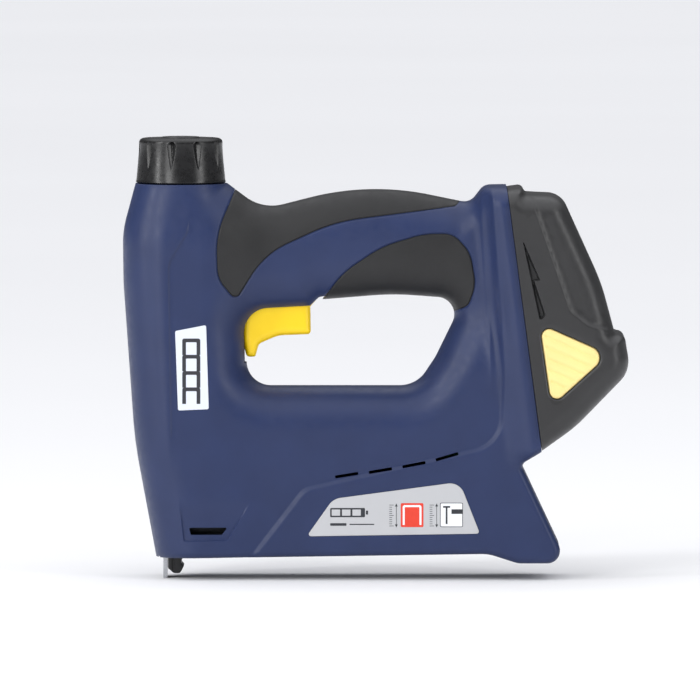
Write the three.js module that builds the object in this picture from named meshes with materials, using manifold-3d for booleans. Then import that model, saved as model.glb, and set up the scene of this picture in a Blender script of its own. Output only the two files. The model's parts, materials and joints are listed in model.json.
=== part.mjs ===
// Cordless staple gun: a clamshell housing with a top knob for driving force, a sprung
// hammer that is lifted by a geared motor, a pull-out staple tray and a slide-off battery.
// Millimetres, +Z up. The nose points to -X, the battery to +X, the halves meet at y = 0,
// and z = 0 is the tip of the safety contact that is pressed on the work.

import * as THREE from "three";
import { mergeVertices } from "three/addons/utils/BufferGeometryUtils.js";
import Module from "manifold-3d";

const wasm = await Module();
wasm.setup();

// ---- driving dimensions -------------------------------------------------------------

const GAP = 0.3; // clearance between neighbouring pieces
const WALL = 3; // thickness of the moulded shell
const LAND = 0.8; // straight edge of the shell beside the parting line
const POCKET = 2.2; // depth of the pockets that hold the soft grips

const HEAD_DEPTH = 24; // half widths of the housing, along y
const NECK_DEPTH = 21.5;
const BASE_DEPTH = 22;
const HANDLE_DEPTH = 17.5;
const FLANGE_DEPTH = 28.5;
const SWAGE_STEP = 1.2; // how proud the lower plate and the rear flange stand
const SOLE_FLAT = 0.82; // share of the depth that is flat underneath
const BOX_FLAT = 0.55; // the same on the edges of the battery and its flange
const BOX_ROUND = 9; // radius of those edges

const AXIS_X = -88.3; // knob, spring and hammer share this upright axis
const NECK_TOP = 179.5;
const KNOB_RADIUS = 20.7;
const KNOB_TOP = 200.7;

const SEAM_TILT = THREE.MathUtils.degToRad(7.6); // battery face, from upright
const SEAM_FOOT = new THREE.Vector3(75.5, 0, 58.5);
const BATTERY_DEPTH = 30;

const WHEEL = { x: -57, z: 62, radius: 18, pinCircle: 11 };
const MOTOR_RADIUS = 13.85;
const HAMMER = { bottom: 54, top: 80, radius: 11.2 };
const GUIDE = { inner: 11.6, outer: 13.2, bottom: 41, top: 160 };
const SEAT_Z = 146.3;
const BLADE = { x: -90.95, thickness: 1.1, halfWidth: 5.5, tip: 9.5 };

const TRIGGER_PIVOT = { x: -25, z: 132.6 };
const TRIGGER_PIN = 1.6; // radius
const TRAY_FLOOR = 12.2; // underside of the pull-out tray
const TRAY_END = 62;
const PULL_ROD_Z = TRAY_FLOOR + 6.6; // axis of the pusher's rod and spring
const STRIP = {
  front: -89.9,
  back: -38.4,
  foot: TRAY_FLOOR + 1.9,
  crown: TRAY_FLOOR + 13.8,
  halfWidth: 5.7,
};
const SPIGOT = { radius: 14.4, top: NECK_TOP + 3 }; // the knob turns on this collar

// ---- materials ----------------------------------------------------------------------

function finish(color, roughness, metalness = 0) {
  return new THREE.MeshStandardMaterial({ color, roughness, metalness });
}

const blue = finish(0x3c4a70, 0.55);
const softGrip = finish(0x37373a, 0.85);
const darkPlastic = finish(0x444446, 0.6);
const knobPlastic = finish(0x2a2a2d, 0.35);
const yellow = finish(0xfde022, 0.5);
const paleYellow = finish(0xfae08b, 0.5);
const labelGrey = finish(0xd6d7d9, 0.6);
const badgeWhite = finish(0xdfe6f5, 0.5);
const steel = finish(0xb4b6ba, 0.3, 1);
const darkSteel = finish(0x55575b, 0.45, 1);
const brass = finish(0xc9a24f, 0.35, 1);
const rubber = finish(0x202022, 0.9);
const boardGreen = finish(0x1f6b3a, 0.6);
const cellGreen = finish(0x3f8f5f, 0.5);
const wireRed = finish(0xb3261e, 0.5);
const wireBlack = finish(0x18181a, 0.5);

// ---- solids -------------------------------------------------------------------------

function solid(geometry) {
  const bare = geometry.clone();
  bare.deleteAttribute("normal");
  bare.deleteAttribute("uv");
  const merged = mergeVertices(bare, 1e-4);
  return new wasm.Manifold(new wasm.Mesh({
    numProp: 3,
    vertProperties: new Float32Array(merged.attributes.position.array),
    triVerts: new Uint32Array(merged.index.array),
  }));
}

function toGeometry(manifold) {
  const { vertProperties, triVerts } = manifold.getMesh();
  const geometry = new THREE.BufferGeometry();
  geometry.setAttribute("position", new THREE.BufferAttribute(vertProperties, 3));
  geometry.setIndex(new THREE.BufferAttribute(triVerts, 1));
  return geometry;
}

function piece(name, manifold, material) {
  const mesh = new THREE.Mesh(toGeometry(manifold), material);
  mesh.name = name;
  return mesh;
}

function box(x0, x1, y0, y1, z0, z1) {
  const geometry = new THREE.BoxGeometry(x1 - x0, y1 - y0, z1 - z0);
  geometry.translate((x0 + x1) / 2, (y0 + y1) / 2, (z0 + z1) / 2);
  return solid(geometry);
}

// A rod between two heights, standing on the axis at (x, y).
function rodZ(x, y, z0, z1, radius, sides = 20) {
  const geometry = new THREE.CylinderGeometry(radius, radius, z1 - z0, sides);
  geometry.rotateX(Math.PI / 2);
  geometry.translate(x, y, (z0 + z1) / 2);
  return solid(geometry);
}

function rodX(x0, x1, y, z, radius, sides = 20) {
  const geometry = new THREE.CylinderGeometry(radius, radius, x1 - x0, sides);
  geometry.rotateZ(Math.PI / 2);
  geometry.translate((x0 + x1) / 2, y, z);
  return solid(geometry);
}

function rodY(x, y0, y1, z, radius, sides = 20) {
  const geometry = new THREE.CylinderGeometry(radius, radius, y1 - y0, sides);
  geometry.translate(x, (y0 + y1) / 2, z);
  return solid(geometry);
}

// The same solid with every corner moved outward along its normal.
function inflate(manifold, amount) {
  const geometry = toGeometry(manifold);
  geometry.computeVertexNormals();
  const { position, normal } = geometry.attributes;
  for (let i = 0; i < position.count; i += 1) {
    position.setXYZ(i, position.getX(i) + amount * normal.getX(i),
      position.getY(i) + amount * normal.getY(i), position.getZ(i) + amount * normal.getZ(i));
  }
  return solid(geometry);
}

function join(...parts) {
  return parts.reduce((whole, part) => whole.add(part));
}

// ---- outlines -----------------------------------------------------------------------

// Corners are [x, z, radius]. Each corner with a radius becomes a fillet arc.
function roundedLine(corners, closed, step = 6) {
  const points = [];
  const count = corners.length;
  corners.forEach(([x, z, radius = 0], i) => {
    const corner = new THREE.Vector2(x, z);
    const isEnd = !closed && (i === 0 || i === count - 1);
    if (isEnd || radius === 0) {
      points.push(corner);
      return;
    }
    const before = new THREE.Vector2(...corners[(i + count - 1) % count]).sub(corner).normalize();
    const after = new THREE.Vector2(...corners[(i + 1) % count]).sub(corner).normalize();
    const halfAngle = Math.acos(THREE.MathUtils.clamp(before.dot(after), -1, 1)) / 2;
    const sweep = Math.PI - 2 * halfAngle;
    const middle = before.clone().add(after).normalize();
    const centre = corner.clone().addScaledVector(middle, radius / Math.sin(halfAngle));
    const first = corner.clone().addScaledVector(before, radius / Math.tan(halfAngle)).sub(centre);
    const turn = Math.sign(before.x * after.y - before.y * after.x) || 1;
    const steps = Math.max(1, Math.ceil(Math.max(radius * sweep / step, sweep / 0.5)));
    for (let k = 0; k <= steps; k += 1) {
      const spoke = first.clone().rotateAround(new THREE.Vector2(), -turn * sweep * k / steps);
      points.push(spoke.add(centre));
    }
  });
  return points;
}

// Adds points so that no stretch is longer than the step.
function spaced(line, closed, step) {
  const points = [];
  const spans = closed ? line.length : line.length - 1;
  for (let i = 0; i < spans; i += 1) {
    const from = line[i];
    const to = line[(i + 1) % line.length];
    const pieces = Math.max(1, Math.round(from.distanceTo(to) / step));
    for (let k = 0; k < pieces; k += 1) {
      points.push(from.clone().lerp(to, k / pieces));
    }
  }
  if (!closed) {
    points.push(line[line.length - 1]);
  }
  return points.filter((point, i) => i === 0 || point.distanceTo(points[i - 1]) > 0.05);
}

function distanceTo(line, closed, x, z) {
  let nearest = Infinity;
  const spans = closed ? line.length : line.length - 1;
  for (let i = 0; i < spans; i += 1) {
    const a = line[i];
    const b = line[(i + 1) % line.length];
    const dx = b.x - a.x;
    const dz = b.y - a.y;
    const length = dx * dx + dz * dz || 1;
    const t = THREE.MathUtils.clamp(((x - a.x) * dx + (z - a.y) * dz) / length, 0, 1);
    nearest = Math.min(nearest, Math.hypot(x - a.x - t * dx, z - a.y - t * dz));
  }
  return nearest;
}

function isInside(line, x, z) {
  let inside = false;
  line.forEach((a, i) => {
    const b = line[(i + 1) % line.length];
    if (a.y > z !== b.y > z && x < a.x + (b.x - a.x) * (z - a.y) / (b.y - a.y)) {
      inside = !inside;
    }
  });
  return inside;
}

// A flat plate with the given outline in x and z, between two y values.
function prism(line, y0, y1) {
  const geometry = new THREE.ExtrudeGeometry(new THREE.Shape(line), {
    depth: y1 - y0,
    bevelEnabled: false,
  });
  geometry.rotateX(Math.PI / 2);
  geometry.translate(0, y1, 0);
  return solid(geometry);
}

// Moves a closed outline inward, or outward when the amount is negative.
function offsetLine(line, amount) {
  if (amount === 0) {
    return line;
  }
  const side = THREE.ShapeUtils.area(line) > 0 ? 1 : -1;
  const normalOf = (from, to) => new THREE.Vector2(from.y - to.y, to.x - from.x).normalize();
  const moved = line.map((point, i) => {
    const before = normalOf(line[(i + line.length - 1) % line.length], point);
    const after = normalOf(point, line[(i + 1) % line.length]);
    const reach = side * amount / Math.max(1 + before.dot(after), 0.3);
    return point.clone().addScaledVector(before.add(after), reach);
  });
  return moved.filter((point) => distanceTo(line, true, point.x, point.y) > Math.abs(amount) * 0.93);
}

// ---- pillow bodies ------------------------------------------------------------------
// The shells are bulged plates: an outline in x and z, and a depth to each side that
// rises from the outline as a quarter ellipse. The same rule, moved inward, makes the
// floor of the grip pockets and the hollow inside.

function smooth(value, from, to) {
  return THREE.MathUtils.smoothstep(value, from, to);
}

function mix(from, to, share) {
  return from + (to - from) * share;
}

function bulge(distance, round) {
  const share = 1 - THREE.MathUtils.clamp(distance / round, 0, 1);
  return Math.pow(1 - Math.pow(share, 2.2), 1 / 2.2);
}

// Triangles whose circumcircles are empty, by adding one point at a time. Each point is
// nudged by less than a micron here, so that no three lie quite in line.
function delaunay(points) {
  const far = 5000;
  const nudged = points.map(({ x, y }, i) => new THREE.Vector2(
    x + 5e-4 * Math.sin(12.9 * i + 1), y + 5e-4 * Math.sin(78.2 * i + 2)));
  const all = [...nudged, new THREE.Vector2(-far, -far), new THREE.Vector2(far, -far * 1.1),
    new THREE.Vector2(far * 0.1, far)];
  const withCircle = (a, b, c) => {
    const [p, q, r] = [all[a], all[b], all[c]];
    const d = 2 * (p.x * (q.y - r.y) + q.x * (r.y - p.y) + r.x * (p.y - q.y));
    const [pp, qq, rr] = [p.lengthSq(), q.lengthSq(), r.lengthSq()];
    const x = (pp * (q.y - r.y) + qq * (r.y - p.y) + rr * (p.y - q.y)) / d;
    const y = (pp * (r.x - q.x) + qq * (p.x - r.x) + rr * (q.x - p.x)) / d;
    return { corners: [a, b, c], x, y, radius: (p.x - x) ** 2 + (p.y - y) ** 2 };
  };
  let triangles = [withCircle(points.length, points.length + 1, points.length + 2)];
  nudged.forEach((point, index) => {
    const rim = new Map();
    triangles = triangles.filter((triangle) => {
      if ((point.x - triangle.x) ** 2 + (point.y - triangle.y) ** 2 > triangle.radius) {
        return true;
      }
      triangle.corners.forEach((from, k) => {
        const to = triangle.corners[(k + 1) % 3];
        if (!rim.delete(`${to},${from}`)) {
          rim.set(`${from},${to}`, [from, to]);
        }
      });
      return false;
    });
    rim.forEach(([from, to]) => triangles.push(withCircle(from, to, index)));
  });
  return triangles.map((triangle) => triangle.corners)
    .filter((corners) => corners.every((corner) => corner < points.length));
}

// The points of a pillow: rings inside each outline, then a wide staggered grid. The
// first ring of each outline is its border.
function pillowPoints(outlines, inset, rings, step, gridStep, extra) {
  const clear = (x, z) => Math.min(...outlines.map((line) => distanceTo(line, true, x, z)));
  const points = [];
  const borders = outlines.map(() => []);
  rings.forEach((at, order) => {
    const depth = inset + at;
    const apart = order === 0 ? 0.5 : Math.min(step * 0.4, 0.7 * (at - rings[order - 1]));
    outlines.forEach((line, i) => {
      const ring = offsetLine(spaced(line, true, step), i === 0 ? depth : -depth);
      ring.forEach((point) => {
        const crowded = points.some((other) => other.distanceTo(point) < apart);
        if (!crowded && clear(point.x, point.y) > depth * 0.93 - 0.01) {
          points.push(point);
          if (order === 0) {
            borders[i].push(point);
          }
        }
      });
    });
  });
  const inBody = (x, z) => isInside(borders[0], x, z)
    && !borders.slice(1).some((line) => isInside(line, x, z));
  const addInner = (point, spread) => {
    const near = points.some((other) => other.distanceTo(point) < spread);
    if (!near && inBody(point.x, point.y) && clear(point.x, point.y) > inset + 2) {
      points.push(point);
    }
  };
  extra.forEach((point) => addInner(point, 1));
  const last = rings[rings.length - 1] + inset;
  const bounds = new THREE.Box2().setFromPoints(outlines[0]);
  for (let row = 0, z = bounds.min.y; z < bounds.max.y; row += 1, z += gridStep) {
    for (let x = bounds.min.x + (row % 2) * gridStep / 2; x < bounds.max.x; x += gridStep) {
      if (clear(x, z) > last) {
        addInner(new THREE.Vector2(x, z), gridStep * 0.55);
      }
    }
  }
  return { points, inBody };
}

function pillow({ outlines, depthAt, inset = 0, rings, step, gridStep, extra = [] }) {
  const { points, inBody } = pillowPoints(outlines, inset, rings, step, gridStep, extra);
  const faces = delaunay(points).filter((corners) => {
    const x = corners.reduce((sum, corner) => sum + points[corner].x, 0) / 3;
    const z = corners.reduce((sum, corner) => sum + points[corner].y, 0) / 3;
    return inBody(x, z);
  });
  const positions = [-1, 1].flatMap((side) => points.flatMap(
    (point) => [point.x, side * depthAt(point.x, point.y, inset), point.y]));
  const back = points.length;
  const index = [];
  const rim = new Map();
  faces.forEach(([a, b, c]) => {
    index.push(a, b, c, back + c, back + b, back + a);
    [[a, b], [b, c], [c, a]].forEach(([from, to]) => {
      if (!rim.delete(`${to},${from}`)) {
        rim.set(`${from},${to}`, [from, to]);
      }
    });
  });
  rim.forEach(([from, to]) => index.push(from, back + to, to, from, back + from, back + to));
  const geometry = new THREE.BufferGeometry();
  geometry.setAttribute("position", new THREE.Float32BufferAttribute(positions, 3));
  geometry.setIndex(index);
  return solid(geometry);
}

// ---- housing shape ------------------------------------------------------------------

const FRONT_EDGE = [
  [-108.9, NECK_TOP], [-114.7, 158, 45], [-114.4, 134, 120], [-109.3, 62, 200], [-99.6, 9.7],
];
const SOLE_EDGE = [
  [-99.6, 9.7], [51.4, 11.9, 20], [64.8, 7.6, 10], [87.2, 7.6, 5.7], [66, 52.6, 3],
  [SEAM_FOOT.x, SEAM_FOOT.z],
];
const CROWN_EDGE = [
  [59.6, 178.4], [49.5, 178.3, 6], [43.2, 170.5, 6], [-2.6, 179.84, 121],
  [-51.2, 167.5, 20], [-67.2, NECK_TOP],
];
const OPENING = [
  [-58.3, 87.4, 11], [18.8, 87.4, 14], [27.5, 100.5, 25], [40.4, 126.9, 8], [8, 129.2, 120],
  [-24.6, 126.6, 1.5], [-28.8, 122.6, 1.2], [-58.6, 121, 10],
];
const SWAGE = [[-59.7, 6], [-32.2, 41.6, 9], [56.5, 61.8, 16], [58.4, 96, 60], [53, 178]];

const frontLine = roundedLine(FRONT_EDGE, false);
const soleLine = roundedLine(SOLE_EDGE, false);
const crownLine = roundedLine(CROWN_EDGE, false);
const housingLine = [...frontLine, ...soleLine.slice(1), ...crownLine];
const openingLine = roundedLine(OPENING, true, 4);
const swageLine = roundedLine(SWAGE, false, 5);
const raisedArea = [...swageLine, new THREE.Vector2(53, 220), new THREE.Vector2(140, 220),
  new THREE.Vector2(140, -30), new THREE.Vector2(-59.7, -30)];

// How far a point lies beyond the battery seam, and how far up along it.
function seamPlace(x, z) {
  const [dx, dz] = [x - SEAM_FOOT.x, z - SEAM_FOOT.z];
  const [c, s] = [Math.cos(SEAM_TILT), Math.sin(SEAM_TILT)];
  return { out: c * dx + s * dz, up: c * dz - s * dx };
}

function sideDepth(x, z) {
  const head = 1 - smooth(x, -80, -48);
  const handle = smooth(z, 92, 128) * (1 - head);
  const neck = head * smooth(z, 150, NECK_TOP);
  const seam = seamPlace(x, z);
  const flare = smooth(seam.out, -17, -3) * smooth(seam.up, -8, 2);
  const body = BASE_DEPTH + head * (HEAD_DEPTH - BASE_DEPTH)
    - handle * (BASE_DEPTH - HANDLE_DEPTH) - neck * (HEAD_DEPTH - NECK_DEPTH);
  const side = isInside(raisedArea, x, z) ? 1 : -1;
  const step = smooth(side * distanceTo(swageLine, false, x, z), -1, 1.4);
  return mix(body, FLANGE_DEPTH, flare) + SWAGE_STEP * step * (1 - flare);
}

function housingDepth(x, z, inset) {
  const onFlange = smooth(x, 36, 50);
  const edges = [
    [distanceTo(frontLine, false, x, z), 20, 0],
    [distanceTo(crownLine, false, x, z), mix(23, BOX_ROUND, onFlange), BOX_FLAT * onFlange],
    [distanceTo(openingLine, true, x, z), 20, 0],
    [distanceTo(soleLine, false, x, z), 3, SOLE_FLAT],
  ];
  const rise = edges.reduce((share, [distance, round, flat]) => (
    share * mix(flat, 1, bulge(distance - inset, Math.max(round - inset, 1.5)))), 1);
  return LAND + (sideDepth(x, z) - inset - LAND) * rise;
}

// The outer skin is fine. Surfaces that only other pieces see are coarse.
function housingBody(inset, grain) {
  const swagePoints = [-0.9, 1.3].flatMap((shift) => spaced(swageLine, false, 9)
    .map((point, i, line) => {
      const along = line[Math.min(i + 1, line.length - 1)].clone().sub(line[Math.max(i - 1, 0)]);
      along.normalize();
      return new THREE.Vector2(point.x + along.y * shift, point.y - along.x * shift);
    }));
  return pillow({
    outlines: [housingLine, openingLine],
    depthAt: housingDepth,
    inset,
    ...grain,
    extra: inset === 0 ? swagePoints : [],
  });
}

// ---- battery shape, in the seam's own frame: x out of the seam, z up along it ---------

const BATTERY_EDGE = [
  [0, 0], [16.8, 9, 60], [44.8, 31, 13], [44.3, 47.2, 3.5], [40, 48.8, 1.5], [37, 72, 90],
  [24.4, 113.7, 10], [8.2, 116.6, 1.5], [6.8, 120, 2.5], [0, 120],
];
const BATTERY_RIDGE = [[8.4, 123.7], [21.1, 61.5, 6], [28.7, 53.7, 12], [47.7, 47.2]];
const BUTTON_EDGE = [[6.6, 58.2, 3.5], [36, 40.2, 5.2], [7, 20.2, 3.5]];

const batteryLine = roundedLine(BATTERY_EDGE, true);
const batteryFreeLine = roundedLine(BATTERY_EDGE, false);
const ridgeLine = roundedLine(BATTERY_RIDGE, false);
const cellBayArea = [...ridgeLine, new THREE.Vector2(80, 47.2), new THREE.Vector2(80, 140),
  new THREE.Vector2(8.4, 140)];
const buttonLine = roundedLine(BUTTON_EDGE, true, 3);

function batteryDepth(x, z, inset) {
  const side = isInside(cellBayArea, x, z) ? -1 : 1;
  const proud = smooth(side * distanceTo(ridgeLine, false, x, z), -1, 1);
  const edge = distanceTo(batteryFreeLine, false, x, z) - inset;
  const rise = mix(BOX_FLAT, 1, bulge(edge, BOX_ROUND - inset));
  return LAND + (mix(BATTERY_DEPTH - 1.5, BATTERY_DEPTH, proud) - inset - LAND) * rise;
}

function batteryBody(inset) {
  return pillow({
    outlines: [batteryLine],
    depthAt: batteryDepth,
    inset,
    rings: inset === 0 ? [0, 0.9, 3, 8] : [0, 2.5, 6.5],
    step: inset === 0 ? 8 : 12,
    gridStep: 18,
    extra: inset === 0 ? spaced(ridgeLine, false, 9) : [],
  });
}

// Places a solid of the seam's frame in the tool's frame.
function atSeam(manifold) {
  const placed = toGeometry(manifold);
  placed.rotateY(-SEAM_TILT);
  placed.translate(SEAM_FOOT.x, 0, SEAM_FOOT.z);
  return solid(placed);
}

const PLUG = { out: -14, low: 74, high: 98, halfWidth: 11 };

// ---- case screws --------------------------------------------------------------------

const SCREWS = [
  ["screw_neck", -76, 167], ["screw_head", -70, 106], ["screw_handle", 2, 157],
  ["screw_flange", 52, 160], ["screw_column", 47, 92], ["screw_heel", 66, 40],
  ["screw_nose", -76, 36],
];
const SCREW = { head: 3.2, shank: 1.5, headFace: 10, tip: -9 };

function screwBody(x, z) {
  const socket = rodY(x, SCREW.headFace - 1.2, SCREW.headFace + 1, z, 1.4, 6);
  return rodY(x, SCREW.tip, SCREW.headFace - 2.4, z, SCREW.shank, 10)
    .add(rodY(x, SCREW.headFace - 2.5, SCREW.headFace, z, SCREW.head, 16))
    .subtract(socket);
}

function screwBoss(x, z) {
  return rodY(x, -HEAD_DEPTH, HEAD_DEPTH, z, 4.3, 8);
}

function screwHole(x, z) {
  return rodY(x, SCREW.tip - GAP, SCREW.headFace, z, SCREW.shank + GAP, 8)
    .add(rodY(x, SCREW.headFace - 2.5 - GAP, 40, z, SCREW.head + GAP, 12));
}

// ---- soft grips, label and badge ------------------------------------------------------

const TOP_GRIP = [
  [-57.5, 191], [-72.1, 157, 40], [-71.4, 137, 14], [-64.6, 128.6, 2.8], [-61.8, 128.9, 2.4],
  [-50, 148, 38], [-18, 162.6, 80], [36.5, 169.4, 2.5], [58, 192],
];
const LOWER_GRIP = [
  [-29, 119.9], [-14.7, 139.5, 40], [2.9, 151.5, 50], [22.2, 157.3, 40], [35.3, 157.3, 10],
  [43.2, 149, 16], [45.8, 133.9, 18], [42.3, 124.3, 5], [28, 118],
];
const LABEL_EDGE = [[-31.4, 20, 1.2], [-19.1, 37.4, 8], [38.4, 45.1, 7], [47.8, 21.2, 1.3]];
const BADGE_EDGE = [[-90.8, 113.6, 1], [-89.5, 77.2, 1], [-75.2, 77.8, 1], [-76.4, 116.4, 1]];

const topGripLine = roundedLine(TOP_GRIP, true, 5);
const lowerGripLine = roundedLine(LOWER_GRIP, true, 5);
const labelLine = roundedLine(LABEL_EDGE, true, 4);
const badgeLine = roundedLine(BADGE_EDGE, true, 2);

const outerBody = housingBody(0, { rings: [0, 1.4, 4.5, 10], step: 9, gridStep: 16 });
const pocketBody = housingBody(POCKET, { rings: [0, 3, 9], step: 14, gridStep: 26 });
const gripCore = inflate(pocketBody, GAP + 0.1);
const hollowBody = housingBody(WALL, { rings: [0, 4, 10], step: 18, gridStep: 34 });

const leftSpace = box(-200, 200, -60, -GAP / 2, -20, 240);
const rightSpace = box(-200, 200, GAP / 2, 60, -20, 240);

function skin(line, thickness) {
  const inner = prism(offsetLine(line, GAP / 2), -60, 60);
  return outerBody.intersect(inner).subtract(thickness);
}

function triggerSlot() {
  return box(-65.6, -18.6, -8.3, 8.3, 98, 139)
    .add(rodY(TRIGGER_PIVOT.x, -11, 11, TRIGGER_PIVOT.z, TRIGGER_PIN + GAP, 14));
}

const topGrip = skin(topGripLine, gripCore);
const lowerGrip = skin(lowerGripLine, gripCore).subtract(triggerSlot());
const LABEL_DEPTH = 0.8;

// A thin plate that lies flush in the side of the housing: side is -1 or 1.
function flatPlate(line, depth, side) {
  const middle = side * (depth - LABEL_DEPTH / 2);
  return prism(offsetLine(line, GAP / 2), middle - LABEL_DEPTH / 2, middle + LABEL_DEPTH / 2);
}

// ---- housing --------------------------------------------------------------------------

const VENT = { length: 10.6, thickness: 1.4 };
const VENTS = [[-12.9, 47.9, 0.16], [2.4, 50, 0.17], [17.6, 52.7, 0.19], [32.6, 56.3, 0.28]];

function ventSlots() {
  return join(...VENTS.map(([x, z, slope]) => {
    const geometry = new THREE.BoxGeometry(VENT.length, 100, VENT.thickness);
    geometry.rotateY(-slope);
    geometry.translate(x, 0, z);
    return solid(geometry);
  }));
}

const TRAY_BAY = { front: -86.3, halfWidth: 8.4, top: TRAY_FLOOR + 16.5 };
const STAPLE_WINDOW = [[-84.4, 24.1], [-66.9, 24.1], [-69.5, 20.8], [-83.6, 20.8]]
  .map(([x, z]) => new THREE.Vector2(x, z));

function housingShell() {
  const grips = prism(topGripLine, -60, 60).add(prism(lowerGripLine, -60, 60));
  const label = BASE_DEPTH + SWAGE_STEP - LABEL_DEPTH - GAP;
  const badge = HEAD_DEPTH - LABEL_DEPTH - GAP;
  const pockets = join(
    prism(labelLine, -60, -label), prism(labelLine, label, 60),
    prism(badgeLine, -60, -badge), prism(badgeLine, badge, 60));
  const bosses = join(...SCREWS.map(([, x, z]) => screwBoss(x, z)));
  const holes = join(...SCREWS.map(([, x, z]) => screwHole(x, z)));
  const inner = bosses.add(innerRibs()).intersect(pocketBody);
  const spigot = rodZ(AXIS_X, 0, NECK_TOP - WALL, SPIGOT.top, SPIGOT.radius, 28);
  return outerBody.subtract(grips).add(pocketBody)
    .subtract(pockets)
    .subtract(hollowBody)
    .add(inner)
    .add(spigot)
    .subtract(holes)
    .subtract(housingOpenings());
}

// Cross walls that cradle the hammer guide and the motor.
function innerRibs() {
  const guideRibs = [104, 128].map((z) => box(-118, -70, -30, 30, z, z + 2.5));
  const motorRibs = [-22, 16].map((x) => box(x, x + 2.5, -30, 30, 40, 92));
  const guide = rodZ(AXIS_X, 0, 90, 150, GUIDE.outer + 2 * GAP, 16);
  const motor = rodX(-40, 40, 0, WHEEL.z, MOTOR_RADIUS + 2 * GAP, 16);
  return join(...guideRibs, ...motorRibs).subtract(guide).subtract(motor);
}

function housingOpenings() {
  const neckBore = rodZ(AXIS_X, 0, 160, 220, 7, 20);
  const noseHole = box(-98.4, -85.9, -10.4, 10.4, -5, 41);
  const { front, halfWidth, top } = TRAY_BAY;
  const traySlot = box(front - 4, TRAY_END - 0.5, -7.5, 7.5, -5, TRAY_FLOOR + 3);
  const trayBay = box(front, TRAY_END - 2, -halfWidth, halfWidth, TRAY_FLOOR + 1.3, top)
    .add(box(TRAY_END - 3, 130, -halfWidth, halfWidth, TRAY_FLOOR - GAP, top));
  const stapleWindow = prism(STAPLE_WINDOW, -60, 60);
  const plugHole = atSeam(box(-30, 5, -PLUG.halfWidth - GAP, PLUG.halfWidth + GAP,
    PLUG.low - GAP, PLUG.high + GAP));
  return join(neckBore, noseHole, traySlot, trayBay, stapleWindow, plugHole, triggerSlot(),
    ventSlots());
}

const shell = housingShell();

function bodyPieces() {
  const labelDepth = BASE_DEPTH + SWAGE_STEP;
  const halves = [["left", -1, leftSpace], ["right", 1, rightSpace]];
  return halves.flatMap(([name, side, space]) => [
    piece(`housing_${name}`, shell.intersect(space), blue),
    piece(`grip_top_${name}`, topGrip.intersect(space), softGrip),
    piece(`grip_lower_${name}`, lowerGrip.intersect(space), softGrip),
    piece(`rating_label_${name}`, flatPlate(labelLine, labelDepth, side), labelGrey),
    piece(`side_badge_${name}`, flatPlate(badgeLine, HEAD_DEPTH, side), badgeWhite),
  ]);
}

// ---- coils and wires ------------------------------------------------------------------

function sweep(curve, radius, sides, steps) {
  const section = new THREE.Shape(Array.from({ length: sides }, (_, i) => {
    const angle = 2 * Math.PI * i / sides;
    return new THREE.Vector2(radius * Math.cos(angle), radius * Math.sin(angle));
  }));
  const geometry = new THREE.ExtrudeGeometry(section, {
    steps,
    extrudePath: curve,
    bevelEnabled: false,
  });
  return solid(geometry);
}

class Helix extends THREE.Curve {
  constructor(radius, length, turns) {
    super();
    Object.assign(this, { radius, length, turns });
  }

  getPoint(t, target = new THREE.Vector3()) {
    const angle = 2 * Math.PI * this.turns * t;
    return target.set(this.radius * Math.cos(angle), this.radius * Math.sin(angle), this.length * t);
  }
}

// A coil between two heights on an upright axis.
function coil(x, y, z0, z1, radius, wire, turns, sides, perTurn) {
  const curve = new Helix(radius, z1 - z0 - 2 * wire, turns);
  return sweep(curve, wire, sides, turns * perTurn).translate([x, y, z0 + wire]);
}

function wirePiece(name, points, material) {
  const curve = new THREE.CatmullRomCurve3(points.map((point) => new THREE.Vector3(...point)));
  return piece(name, sweep(curve, 0.9, 6, 18), material);
}

// ---- force knob and hammer line ---------------------------------------------------------

const FLUTES = 10;
const FLUTE_TURN = 0.108; // angle of the first flute from +X
const CAP = { rim: 14.6, boss: 8.6, top: KNOB_TOP - 0.6 };

function knobBody() {
  const bottom = NECK_TOP + GAP;
  const profile = [
    [0, bottom], [KNOB_RADIUS - 0.5, bottom], [KNOB_RADIUS, bottom + 1],
    [KNOB_RADIUS - 0.4, 188], [KNOB_RADIUS - 1.6, 197.4], [KNOB_RADIUS - 2.4, 199.3],
    [KNOB_RADIUS - 3.9, CAP.top], [CAP.rim + GAP, CAP.top], [CAP.rim + GAP, CAP.top - 0.8],
    [0, CAP.top - 0.8],
  ].map(([r, z]) => new THREE.Vector2(r, z));
  const turned = new THREE.LatheGeometry(profile, 30);
  turned.rotateX(Math.PI / 2);
  turned.translate(AXIS_X, 0, 0);
  const flutes = Array.from({ length: FLUTES }, (_, i) => fluteCutter(i * 2 * Math.PI / FLUTES));
  const socket = rodZ(AXIS_X, 0, 170, 195, 4 + GAP, 20);
  const skirtHollow = rodZ(AXIS_X, 0, 170, SPIGOT.top + 1.5, SPIGOT.radius + 2 * GAP, 28);
  return solid(turned).subtract(join(...flutes)).subtract(skirtHollow).subtract(socket);
}

// A long drop-shaped scoop, wide at the top and running out to a point.
function fluteCutter(angle) {
  const profile = [[0, -11], [1.3, -5], [2.4, -0.5], [2.6, 1], [2, 2.4], [0, 3.2]]
    .map(([r, z]) => new THREE.Vector2(r, z));
  const drop = new THREE.LatheGeometry(profile, 6);
  drop.rotateX(Math.PI / 2);
  drop.rotateY(-0.09);
  drop.translate(KNOB_RADIUS - 0.6, 0, 196.3);
  drop.rotateZ(angle + FLUTE_TURN);
  drop.translate(AXIS_X, 0, 0);
  return solid(drop);
}

function adjustingScrew() {
  const rod = rodZ(AXIS_X, 0, 124, 194.5, 4, 18);
  const collar = rodZ(AXIS_X, 0, NECK_TOP - 3 - 4, NECK_TOP - 3 - GAP, 9, 20);
  return rod.add(collar);
}

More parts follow.
